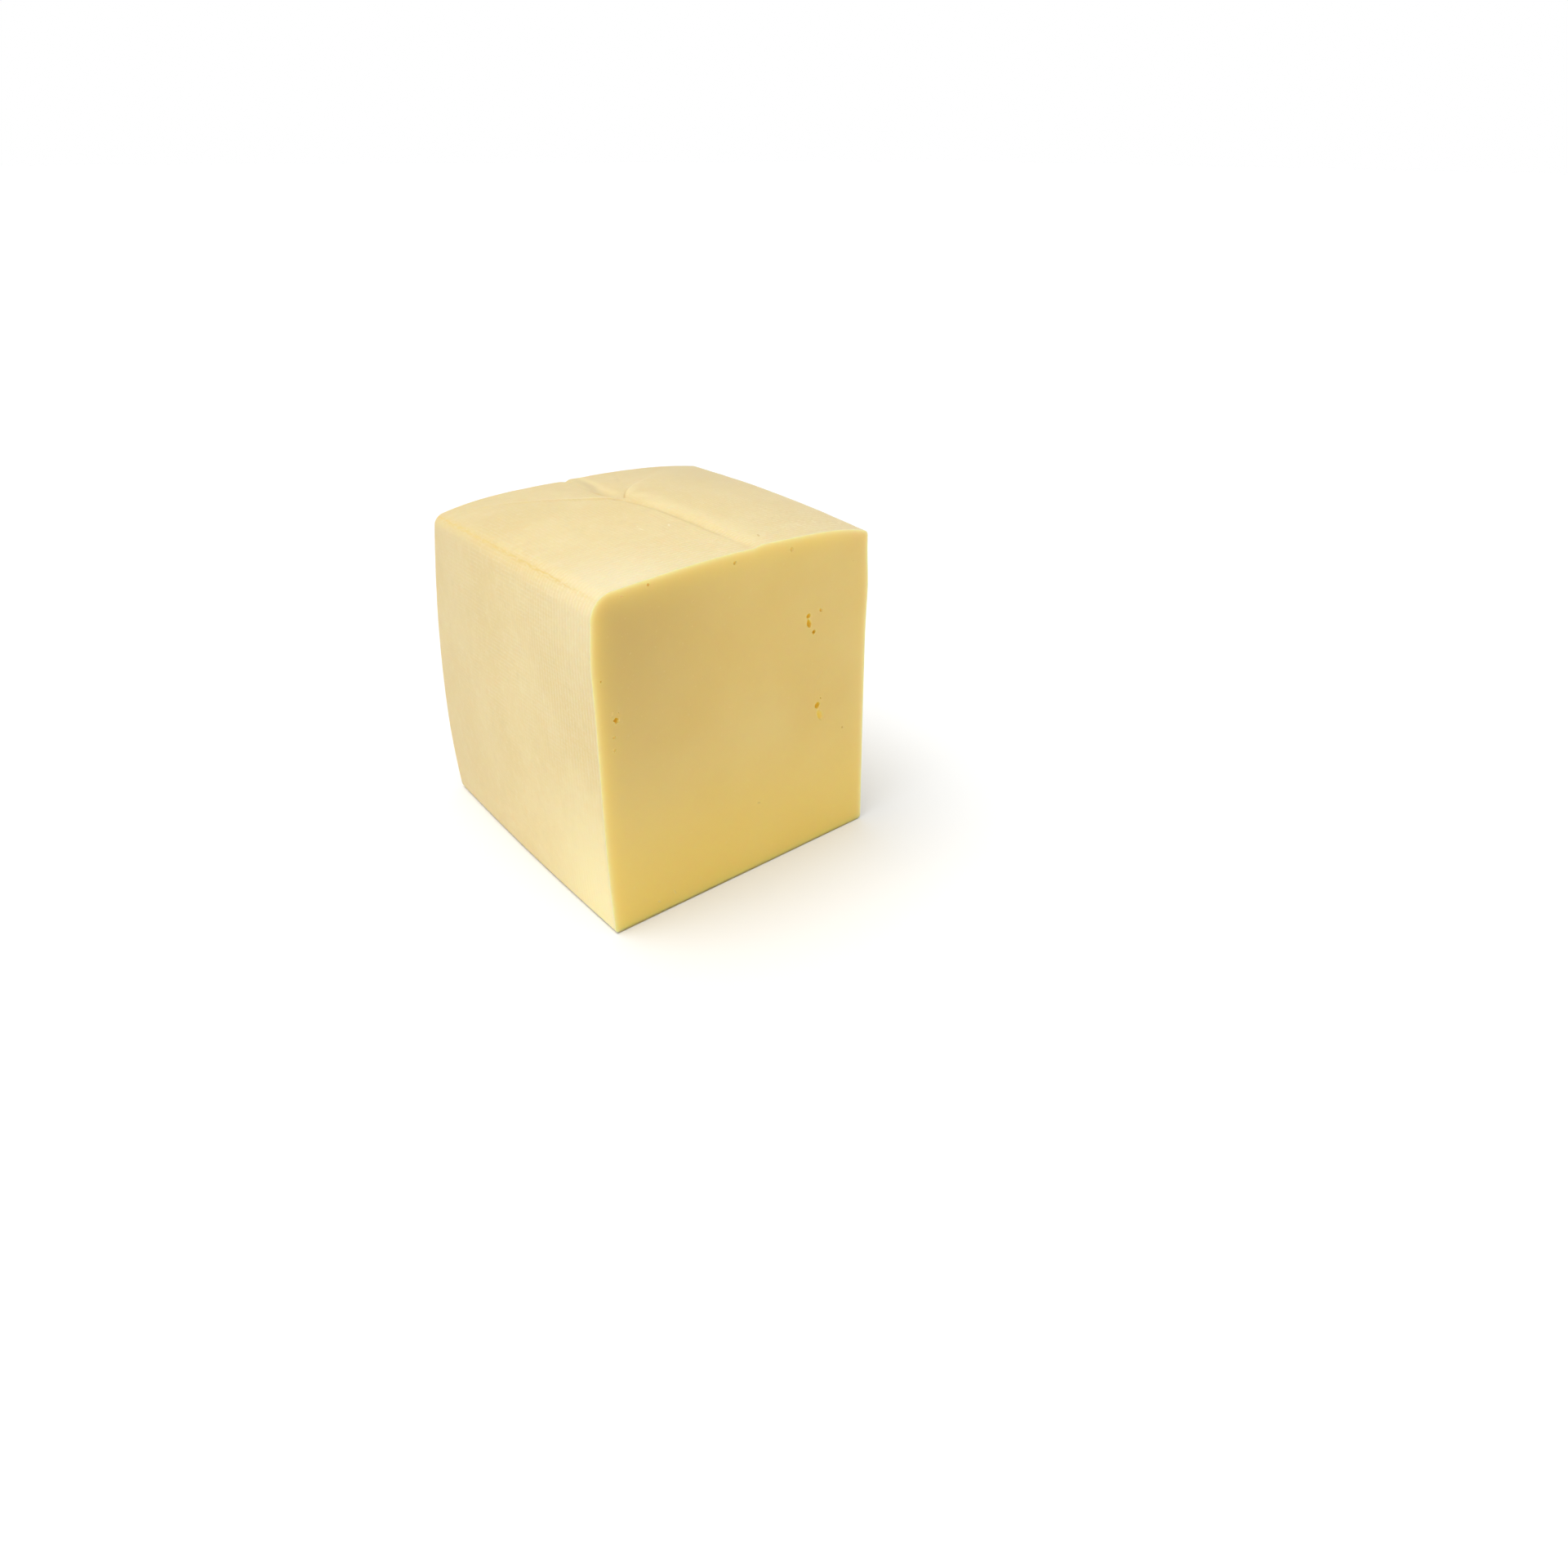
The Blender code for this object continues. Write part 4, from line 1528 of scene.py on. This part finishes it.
@dataclass
class CheeseBody:
    """The block's fine body: rind all round, and the fresh cut."""

    loaf: Loaf = field(default_factory=Loaf)
    plan: LoopPlan = field(default_factory=LoopPlan)
    shift: Vector = field(default_factory=Vector)
    rim_samples: int = 400
    cut_tolerance: float = 0.02 * MM
    far_from_rim: float = 50.0 * MM
    sharp_angle: float = math.radians(32.0)

    def quads(self, numbers: Array, side: Side) -> Array:
        """The outward quads of one side of the lattice.

        Args:
            numbers: the vertex number at each place of the lattice, or -1 where there is none.
            side: which side.

        Returns:
            One row of four vertex numbers for each quad.
        """
        axis, high = side.value
        sheet = np.take(numbers, -1 if high else 0, axis=axis)
        corners = [sheet[:-1, :-1], sheet[1:, :-1], sheet[1:, 1:], sheet[:-1, 1:]]
        if high == (axis == 1):
            corners.reverse()
        return np.stack(corners, axis=-1).reshape(-1, 4)

    def underside(self, numbers: Array) -> list[list[int]]:
        """The flat underside: one long face between each pair of loops, and one at each end.

        Args:
            numbers: the vertex number at each place of the lattice, or -1 where there is none.

        Returns:
            Each face's vertex numbers.
        """
        floor = numbers[:, :, 0]
        rows = floor.shape[1]
        faces = []
        for j in range(rows - 1):
            near = list(floor[:, j]) if j == 0 else [floor[0, j], floor[-1, j]]
            far = list(floor[:, j + 1]) if j == rows - 2 else [floor[0, j + 1], floor[-1, j + 1]]
            faces.append([int(i) for i in (near + far[::-1])[::-1]])
        return faces

    def unrolled(self, box: Array, side: Side) -> Array:
        """Where places of one side lie on the unrolled rind, in metres.

        Args:
            box: places on the plain box.
            side: the side that they belong to.

        Returns:
            Distance around the loaf from its bottom left edge, and distance from the cut.
        """
        x, y, z = box.T
        tall, width = self.loaf.tall, self.loaf.width
        around = {Side.LEFT: z, Side.RIGHT: 2 * tall + width - z}.get(side, tall + x)
        from_cut = self.loaf.length + tall - z if side is Side.END else y
        return np.stack([around, from_cut], axis=-1)

    def lattice(self) -> tuple[Array, Array]:
        """The box's surface, with the middle of its underside left out.

        Returns:
            The vertex number at each place of the lattice, or -1 where there is none, and each vertex's place.
        """
        places = self.plan.places(self.loaf)
        numbers = np.full([len(line) for line in places], -1)
        surface = np.zeros(numbers.shape, bool)
        for axis in range(3):
            ends = np.moveaxis(surface, axis, 0)
            ends[0] = ends[-1] = True
        surface[1:-1, 1:-1, 0] = False
        numbers[surface] = np.arange(surface.sum())
        return numbers, np.stack(np.meshgrid(*places, indexing="ij"), axis=-1)[surface]

    def build(self) -> bpy.types.Object:
        """Makes the body, still without its materials, its cloth imprint and its eyes.

        Returns:
            The body.
        """
        numbers, box = self.lattice()
        points = self.loaf.place(box)
        self.shift = self.fit(points)
        points = points + np.array(self.shift)
        sides = (Side.LEFT, Side.RIGHT, Side.TOP, Side.END, Side.CUT)
        sheets = {side: self.quads(numbers, side) for side in sides}
        floor = self.underside(numbers)
        faces = np.concatenate(list(sheets.values())).tolist()
        uvs = [self.unrolled(box[quads.ravel()], side) for side, quads in sheets.items()]
        uvs.append(self.unrolled(box[np.concatenate(floor)], Side.UNDERSIDE))
        mesh = bpy.data.meshes.new(NODE)
        mesh.from_pydata(points.tolist(), [], faces + floor)
        uvs = np.concatenate(uvs).astype(np.float32).ravel()
        mesh.uv_layers.new(name="rind_uv").data.foreach_set("uv", uvs)
        is_cut = np.zeros(len(faces) + len(floor), np.float32)
        is_cut[len(faces) - len(sheets[Side.CUT]):len(faces)] = 1.0
        mesh.attributes.new("is_cut", "FLOAT", "FACE").data.foreach_set("value", is_cut)
        self.store(mesh, "from_cut", box[:, 1])
        self.store(mesh, "above_floor", box[:, 2])
        mesh.shade_smooth()
        mesh.update()
        return new_object("cheese_body", mesh)

    @staticmethod
    def store(mesh: bpy.types.Mesh, name: str, values: Array) -> None:
        """Stores one number at each vertex.

        Args:
            mesh: the mesh.
            name: the attribute's name.
            values: the numbers.
        """
        layer = mesh.attributes.get(name) or mesh.attributes.new(name, "FLOAT", "POINT")
        layer.data.foreach_set("value", values.astype(np.float32))

    @staticmethod
    def fit(points: Array) -> Vector:
        """How far the loaf's frame has to move to stand where the CAD solid stands.

        Args:
            points: the body's vertices, in the loaf's frame.

        Returns:
            The move.
        """
        low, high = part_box(NODE)
        middle = (points.min(0) + points.max(0)) / 2
        return Vector(((low.x + high.x) / 2 - middle[0], (low.y + high.y) / 2 - middle[1],
                       low.z - points[:, 2].min()))

    def mark_rim(self, obj: bpy.types.Object) -> None:
        """Stores at each vertex of the cut how far it is from the rim, apart from the bottom edge.

        Args:
            obj: the body.
        """
        wide, tall = self.loaf.width, self.loaf.tall
        corners = np.array([(0.0, 0.0, 0.0), (0.0, 0.0, tall), (wide, 0.0, tall), (wide, 0.0, 0.0)])
        rim = [np.linspace(start, end, self.rim_samples) for start, end in zip(corners, corners[1:])]
        rim = self.loaf.place(np.concatenate(rim)) + np.array(self.shift)
        points = np.empty(len(obj.data.vertices) * 3, np.float32)
        obj.data.vertices.foreach_get("co", points)
        points = points.reshape(-1, 3)
        cut_point = np.array(self.loaf.on_cut(0.0, 0.0) + self.shift)
        near = np.abs((cut_point - points) @ np.array(self.loaf.cut_normal)) < self.cut_tolerance
        distance = np.full(len(points), self.far_from_rim)
        chosen = points[near]
        distance[near] = np.min([np.linalg.norm(chosen - place, axis=1) for place in rim], axis=0)
        self.store(obj.data, "from_rim", distance)

    def sharpen(self, obj: bpy.types.Object) -> None:
        """Keeps the cut's rim and the eyes' lips crisp, and all else smooth."""
        obj.data.shade_smooth()
        obj.data.set_sharp_from_angle(angle=self.sharp_angle)


@dataclass(frozen=True)
class ClothImprint:
    """The relief that the pressing cloth left in the rind: ribs next to the cut, and a soft unevenness."""

    cloth: Cloth = Cloth()
    rib_depth: float = 0.045 * MM
    rib_reach: float = 36.0 * MM
    patches: Grain = Grain(12.0 * MM)
    patch_span: Span = (0.30, 0.62)
    patch_least: float = 0.3
    dent_size: float = 7.0 * MM
    dent_depth: float = 0.06 * MM
    dent_span: Span = (0.42, 0.75)
    from_cut: Span = (0.0, 0.7)
    above_floor: Span = (0.5, 3.0)
    seed_step: float = 0.37
    seed: int = 7

    def press(self, body: bpy.types.Object, rind: bpy.types.Material, cut: bpy.types.Material) -> None:
        """Presses the imprint into the body by geometry nodes.

        Args:
            body: the block's body.
            rind: the rind's material.
            cut: the fresh cut's material.
        """
        tree = GeometryTree("cloth_imprint", {
            "Rib pitch": self.cloth.rib_pitch, "Rib depth": self.rib_depth, "Rib reach": self.rib_reach,
            "Dent size": self.dent_size, "Dent depth": self.dent_depth, "Seed": self.seed})
        place = tree.node("GeometryNodeInputPosition").outputs[0]
        normal = tree.node("GeometryNodeInputNormal").outputs[0]
        from_cut = tree.attribute("from_cut")
        seed = tree.combine(tree.size("Seed") * self.seed_step, 0.0, 0.0)
        moved = tree.vector("ADD", {0: place, 1: seed})
        sway = tree.noise(place, self.cloth.sway) * self.cloth.sway_turn
        ribs = (from_cut * math.tau / tree.size("Rib pitch") + sway).sine() * 0.5 - 0.5
        patch = tree.noise(moved, self.patches).between(*self.patch_span).lifted(self.patch_least)
        rib_height = ribs * tree.size("Rib depth") * from_cut.bell(tree.size("Rib reach")) * patch
        dents = tree.value("ShaderNodeTexNoise", None, {
            "Vector": moved, "Scale": 1.0 / tree.size("Dent size"), "Detail": 2.0})
        dent_height = dents.between(*self.dent_span) * tree.size("Dent depth") * -1.0
        inside = from_cut.rise(*self.from_cut) * tree.attribute("above_floor").rise(*self.above_floor)
        offset = tree.vector("SCALE", {"Vector": normal, "Scale": (rib_height + dent_height) * inside})
        pressed = tree.node("GeometryNodeSetPosition", None, {
            "Geometry": tree.inputs.outputs[0], "Offset": offset}).outputs[0]
        is_cut = tree.node("FunctionNodeCompare", {"data_type": "FLOAT", "operation": "GREATER_THAN"}, {
            "A": tree.attribute("is_cut"), "B": 0.5}).outputs[0]
        tree.finish(pressed, [(rind, True), (cut, is_cut)])
        tree.run(body)


# ---------------------------------------------------------------- eyes, pits and scratches in the cut


@dataclass(frozen=True)
class Eye:
    """One eye: distance from the left edge, height, half width, half height, depth (mm), tilt (degrees)."""

    name: str
    along: float
    height: float
    half_width: float
    half_height: float
    depth: float
    tilt: float = 0.0
    ragged: float = 0.10


EYES = (
    Eye("upper_eye_top", 74.55, 79.4, 0.90, 0.85, 1.2, 0.0),
    Eye("upper_eye_link", 74.40, 78.5, 0.50, 0.50, 0.35),
    Eye("upper_eye_low", 74.80, 76.9, 0.92, 1.50, 1.3, -27.0),
    Eye("pinhole_below", 76.85, 73.8, 0.78, 0.70, 1.6),
    Eye("pinhole_right", 79.45, 80.1, 0.75, 0.48, 0.6, 45.0),
    Eye("lower_eye", 78.85, 49.0, 1.10, 1.12, 1.5, 20.0),
    Eye("lower_pocket", 80.0, 45.4, 1.12, 2.25, 0.68, -27.0),
    Eye("left_hole", 5.35, 67.4, 0.98, 0.88, 1.2, 40.0, ragged=0.50),
    Eye("left_pit_upper", 4.25, 62.7, 0.60, 0.52, 0.45, 30.0, ragged=0.3),
    Eye("left_pit_lower", 4.15, 58.9, 0.50, 0.62, 0.38, -20.0, ragged=0.3),
    Eye("top_pit_middle", 46.75, 101.7, 0.62, 0.52, 0.55, -45.0),
    Eye("top_pit_right", 67.5, 101.2, 0.75, 0.60, 0.45, 60.0),
    Eye("top_pit_left", 17.9, 102.1, 0.42, 0.48, 0.45, -35.0),
    Eye("top_nick_left", 9.6, 101.0, 0.55, 0.30, 0.20, 15.0),
    Eye("edge_pit", 1.5, 79.8, 0.25, 0.30, 0.4),
    Eye("arc_above_hole", 4.2, 69.6, 0.22, 0.60, 0.22, 20.0),
    Eye("dot_above_hole", 6.1, 69.4, 0.25, 0.30, 0.25),
    Eye("dot_above_lower_eye", 80.1, 51.1, 0.35, 0.30, 0.40, 30.0),
    Eye("lower_right_dot", 90.0, 37.8, 0.45, 0.40, 0.36, 20.0),
    Eye("middle_dot", 54.7, 23.4, 0.60, 0.35, 0.30, 15.0),
    Eye("low_scratch_dot", 21.6, 5.2, 0.25, 0.95, 0.20, -20.0),
    Eye("low_left_dot", 15.7, 4.3, 0.30, 0.50, 0.20, -40.0),
)


@dataclass
class CutMarks:
    """Everything that opens the smooth face of the cut."""

    loaf: Loaf
    shift: Vector
    eyes: tuple[Eye, ...] = EYES
    rings: int = 16
    segments: int = 24
    uneven_scale: float = 1.6
    uneven_step: float = 7.3
    scratches: tuple[tuple[Span, ...], ...] = (
        ((82.9, 62.6), (81.4, 60.4), (79.4, 58.6), (78.0, 56.4), (77.1, 53.6), (77.0, 51.0)),
        ((84.6, 61.9), (83.4, 60.4), (82.7, 58.9)),
    )
    scratch_radius: float = 1.1 * MM
    scratch_depth: float = 0.045 * MM
    scratch_sides: int = 12
    scratch_points: int = 36
    taper_power: int = 3
    pit_count: int = 26
    pit_zone: tuple[Span, Span] = ((4.0, 95.0), (4.0, 97.0))
    pit_sizes: Span = (0.08 * MM, 0.18 * MM)
    pit_apart: float = 5.0 * MM
    pit_seed: int = 11

    def eye_cutter(self, eye: Eye, number: int) -> bpy.types.Mesh:
        """An uneven egg-shaped cutter for one eye.

        Args:
            eye: the eye.
            number: its number, which makes its unevenness its own.

        Returns:
            The cutter's mesh.
        """
        bm = bmesh.new()
        bmesh.ops.create_uvsphere(bm, u_segments=self.segments, v_segments=self.rings, radius=1.0)
        for vert in bm.verts:
            uneven = noise.noise(vert.co * self.uneven_scale + Vector((self.uneven_step * number, 0.0, 0.0)))
            vert.co *= 1.0 + eye.ragged * uneven
        turn = Matrix.Rotation(self.loaf.cut_skew, 4, "Z") @ Matrix.Rotation(math.radians(eye.tilt), 4, "Y")
        size = Matrix.Diagonal(Vector((eye.half_width, eye.depth, eye.half_height)) * MM).to_4x4()
        centre = Matrix.Translation(self.loaf.on_cut(eye.along, eye.height) + self.shift)
        bmesh.ops.transform(bm, matrix=centre @ turn @ size, verts=bm.verts[:])
        mesh = bpy.data.meshes.new(eye.name)
        bm.to_mesh(mesh)
        bm.free()
        return mesh

    def scratch_cutter(self, wall: bpy.types.Material) -> bpy.types.Object:
        """Thin tubes that follow the knife scratches, made by geometry nodes.

        Args:
            wall: the tubes' material.

        Returns:
            The tubes.
        """
        curve = bpy.data.curves.new("knife_scratches", "CURVE")
        curve.dimensions = "3D"
        out = self.loaf.cut_normal * (self.scratch_radius - self.scratch_depth)
        for path in self.scratches:
            spline = curve.splines.new("NURBS")
            spline.points.add(len(path) - 1)
            for i, (point, (along, height)) in enumerate(zip(spline.points, path)):
                place = self.loaf.on_cut(along, height) + self.shift + out
                taper = 1.0 - abs(2.0 * i / (len(path) - 1) - 1.0) ** self.taper_power
                point.co = (*(place + self.loaf.cut_normal * self.scratch_depth * (1.0 - taper)), 1.0)
            spline.use_endpoint_u = True
            spline.order_u = 3
        obj = new_object("scratch_cutter", curve)
        mesh_obj = new_object("scratch_cutter_mesh", bpy.data.meshes.new("scratch_cutter_mesh"))
        tree = GeometryTree("scratch_tubes", {"Tube radius": self.scratch_radius})
        path_info = tree.node("GeometryNodeObjectInfo", {"transform_space": "RELATIVE"}, {"Object": obj})
        ring = tree.node("GeometryNodeCurvePrimitiveCircle", {"mode": "RADIUS"}, {
            "Resolution": self.scratch_sides, "Radius": tree.size("Tube radius")}).outputs[0]
        fine = tree.node("GeometryNodeResampleCurve", {"mode": "COUNT"}, {
            "Curve": tree.find(path_info.outputs, "Geometry"), "Count": self.scratch_points}).outputs[0]
        tube = tree.node("GeometryNodeCurveToMesh", None, {
            "Curve": fine, "Profile Curve": ring, "Fill Caps": True}).outputs[0]
        tree.finish(tube, [(wall, True)])
        tree.run(mesh_obj)
        bpy.data.objects.remove(obj)
        return mesh_obj

    def pit_cutter(self, wall: bpy.types.Material) -> bpy.types.Object:
        """Tiny pits strewn over the cut, made by geometry nodes.

        Args:
            wall: the pits' material.

        Returns:
            The balls that cut them.
        """
        (left, right), (low, high) = self.pit_zone
        bm = bmesh.new()
        corners = ((left, low), (right, low), (right, high), (left, high))
        bm.faces.new([bm.verts.new(self.loaf.on_cut(*corner) + self.shift) for corner in corners])
        mesh = bpy.data.meshes.new("pit_cutter")
        bm.to_mesh(mesh)
        bm.free()
        mesh.materials.append(wall)
        obj = new_object("pit_cutter", mesh)
        area = (right - left) * (high - low) * MM * MM
        tree = GeometryTree("strewn_pits", {
            "Density": self.pit_count / area, "Apart": self.pit_apart, "Smallest": self.pit_sizes[0],
            "Largest": self.pit_sizes[1], "Seed": self.pit_seed})
        points = tree.node("GeometryNodeDistributePointsOnFaces", {"distribute_method": "POISSON"}, {
            "Mesh": tree.inputs.outputs[0], "Distance Min": tree.size("Apart"),
            "Density Max": tree.size("Density"), "Seed": tree.size("Seed")}).outputs[0]
        size = tree.node("FunctionNodeRandomValue", {"data_type": "FLOAT"}, {
            "Min_001": tree.size("Smallest"), "Max_001": tree.size("Largest"), "Seed": tree.size("Seed")})
        ball = tree.node("GeometryNodeMeshIcoSphere", None, {"Radius": 1.0, "Subdivisions": 2}).outputs[0]
        strewn = tree.node("GeometryNodeInstanceOnPoints", None, {
            "Points": points, "Instance": ball, "Scale": tree.find(size.outputs, "Value_001")}).outputs[0]
        tree.finish(strewn, [(wall, True)])
        tree.run(obj)
        return obj

    def open(self, body: bpy.types.Object, wall: bpy.types.Material, paste: bpy.types.Material) -> None:
        """Cuts all of them into the body.

        Args:
            body: the block's body.
            wall: the material of the eyes' walls.
            paste: the material of the fresh cut, which the scratches keep.
        """
        cutters = bpy.data.collections.new("cut_marks")
        bpy.context.scene.collection.children.link(cutters)
        objects = [self.scratch_cutter(paste), self.pit_cutter(wall)]
        for number, eye in enumerate(self.eyes):
            mesh = self.eye_cutter(eye, number)
            mesh.materials.append(wall)
            objects.append(new_object(eye.name, mesh))
        for obj in objects:
            bpy.context.scene.collection.objects.unlink(obj)
            cutters.objects.link(obj)
        modifier = body.modifiers.new("open", "BOOLEAN")
        modifier.operation = "DIFFERENCE"
        modifier.solver = "MANIFOLD"
        modifier.operand_type = "COLLECTION"
        modifier.collection = cutters
        modifier.material_mode = "TRANSFER"
        make_plain(body)
        for obj in objects:
            bpy.data.objects.remove(obj)
        bpy.data.collections.remove(cutters)


# ---------------------------------------------------------------- studio


@dataclass(frozen=True)
class Studio:
    """Plain pale floor, soft light from the upper left, and the camera at the photograph's angle."""

    floor_half: float = 12.0
    floor_place: float = -0.05 * MM
    floor_colour: Colour = (0.93, 0.93, 0.925)
    floor_shade: Colour = (0.90, 0.90, 0.90)
    floor_shade_share: float = 0.02
    floor_grain: Grain = Grain(0.4, 1.0)
    world_low: Colour = (1.0, 1.0, 1.0)
    world_high: Colour = (0.52, 0.53, 0.54)
    world_span: Span = (0.10, 0.30)
    sun_from: Triple = (-0.26, 0.05, 0.96)
    sun_strength: float = 2.0
    sun_angle: float = math.radians(50.0)
    camera_place: Triple = (-0.173318, -0.298187, 0.201203)
    camera_look: Triple = (0.52865, 0.69369, -0.48921)
    camera_up: Triple = (0.29132, 0.39306, 0.87215)
    lens: float = 26.25
    sensor: float = 36.0
    clip_start: float = 0.01

    def floor(self) -> None:
        """The plain pale floor, just under the block."""
        mesh = bpy.data.meshes.new("studio_floor")
        size, z = self.floor_half, self.floor_place
        corners = [(-size, -size, z), (size, -size, z), (size, size, z), (-size, size, z)]
        mesh.from_pydata(corners, [], [(0, 1, 2, 3)])
        material, graph, place = new_material("studio_paper")
        share = graph.noise(place, self.floor_grain) * self.floor_shade_share
        colour = graph.blend(share, self.floor_colour, self.floor_shade)
        graph.surface({"Base Color": colour, "Roughness": 0.9, "Specular IOR Level": 0.1})
        mesh.materials.append(material)
        new_object("studio_floor", mesh)

    def world(self) -> None:
        """A white horizon that falls off a little towards the zenith."""
        world = bpy.data.worlds.new("studio_world")
        bpy.context.scene.world = world
        world.use_nodes = True
        graph = Graph(world.node_tree)
        place = graph.node("ShaderNodeTexCoord").outputs["Generated"]
        up = graph.parts(place)[2]
        colour = graph.blend(up.between(*self.world_span), self.world_low, self.world_high)
        background = graph.node("ShaderNodeBackground", None, {"Color": colour, "Strength": 1.0})
        graph.node("ShaderNodeOutputWorld", None, {"Surface": background.outputs[0]})

    def light(self) -> None:
        """The soft key light."""
        sun = bpy.data.lights.new("key_light", "SUN")
        sun.energy = self.sun_strength
        sun.angle = self.sun_angle
        obj = bpy.data.objects.new("key_light", sun)
        obj.rotation_euler = Vector(self.sun_from).to_track_quat("Z", "Y").to_euler()
        bpy.context.scene.collection.objects.link(obj)

    def camera(self) -> None:
        """The camera at the photograph's angle."""
        data = bpy.data.cameras.new("photo_camera")
        data.lens = self.lens
        data.sensor_width = self.sensor
        data.clip_start = self.clip_start
        back = -Vector(self.camera_look).normalized()
        right = Vector(self.camera_up).cross(back).normalized()
        turn = Matrix((right, back.cross(right), back)).transposed().to_4x4()
        obj = bpy.data.objects.new("photo_camera", data)
        obj.matrix_world = Matrix.Translation(Vector(self.camera_place)) @ turn
        bpy.context.scene.collection.objects.link(obj)
        bpy.context.scene.camera = obj

    def build(self) -> None:
        """Sets up the studio."""
        self.floor()
        self.world()
        self.light()
        self.camera()
        bpy.context.scene.view_settings.view_transform = "Standard"


def main() -> None:
    """Builds the block and its studio."""
    logging.basicConfig(level=logging.INFO, format="%(name)s: %(message)s")
    Studio().build()
    LOG.info("studio: floor, world, key light and camera")
    body = CheeseBody()
    block = body.build()
    LOG.info("body: %d faces", len(block.data.polygons))
    rind, cut = PressedRind().material(body.loaf, body.shift), FreshCut().material()
    ClothImprint().press(block, rind, cut)
    LOG.info("cloth imprint pressed into the rind")
    loaf = body.loaf
    wall = EyeWall().material(loaf.on_cut(0.0, 0.0) + body.shift, loaf.cut_normal)
    CutMarks(loaf, body.shift).open(block, wall, cut)
    LOG.info("eyes, pits and scratches opened: %d faces", len(block.data.polygons))
    body.mark_rim(block)
    body.sharpen(block)
    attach(block, BODY)
    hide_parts(NODE)


if __name__ == "__main__":
    main()
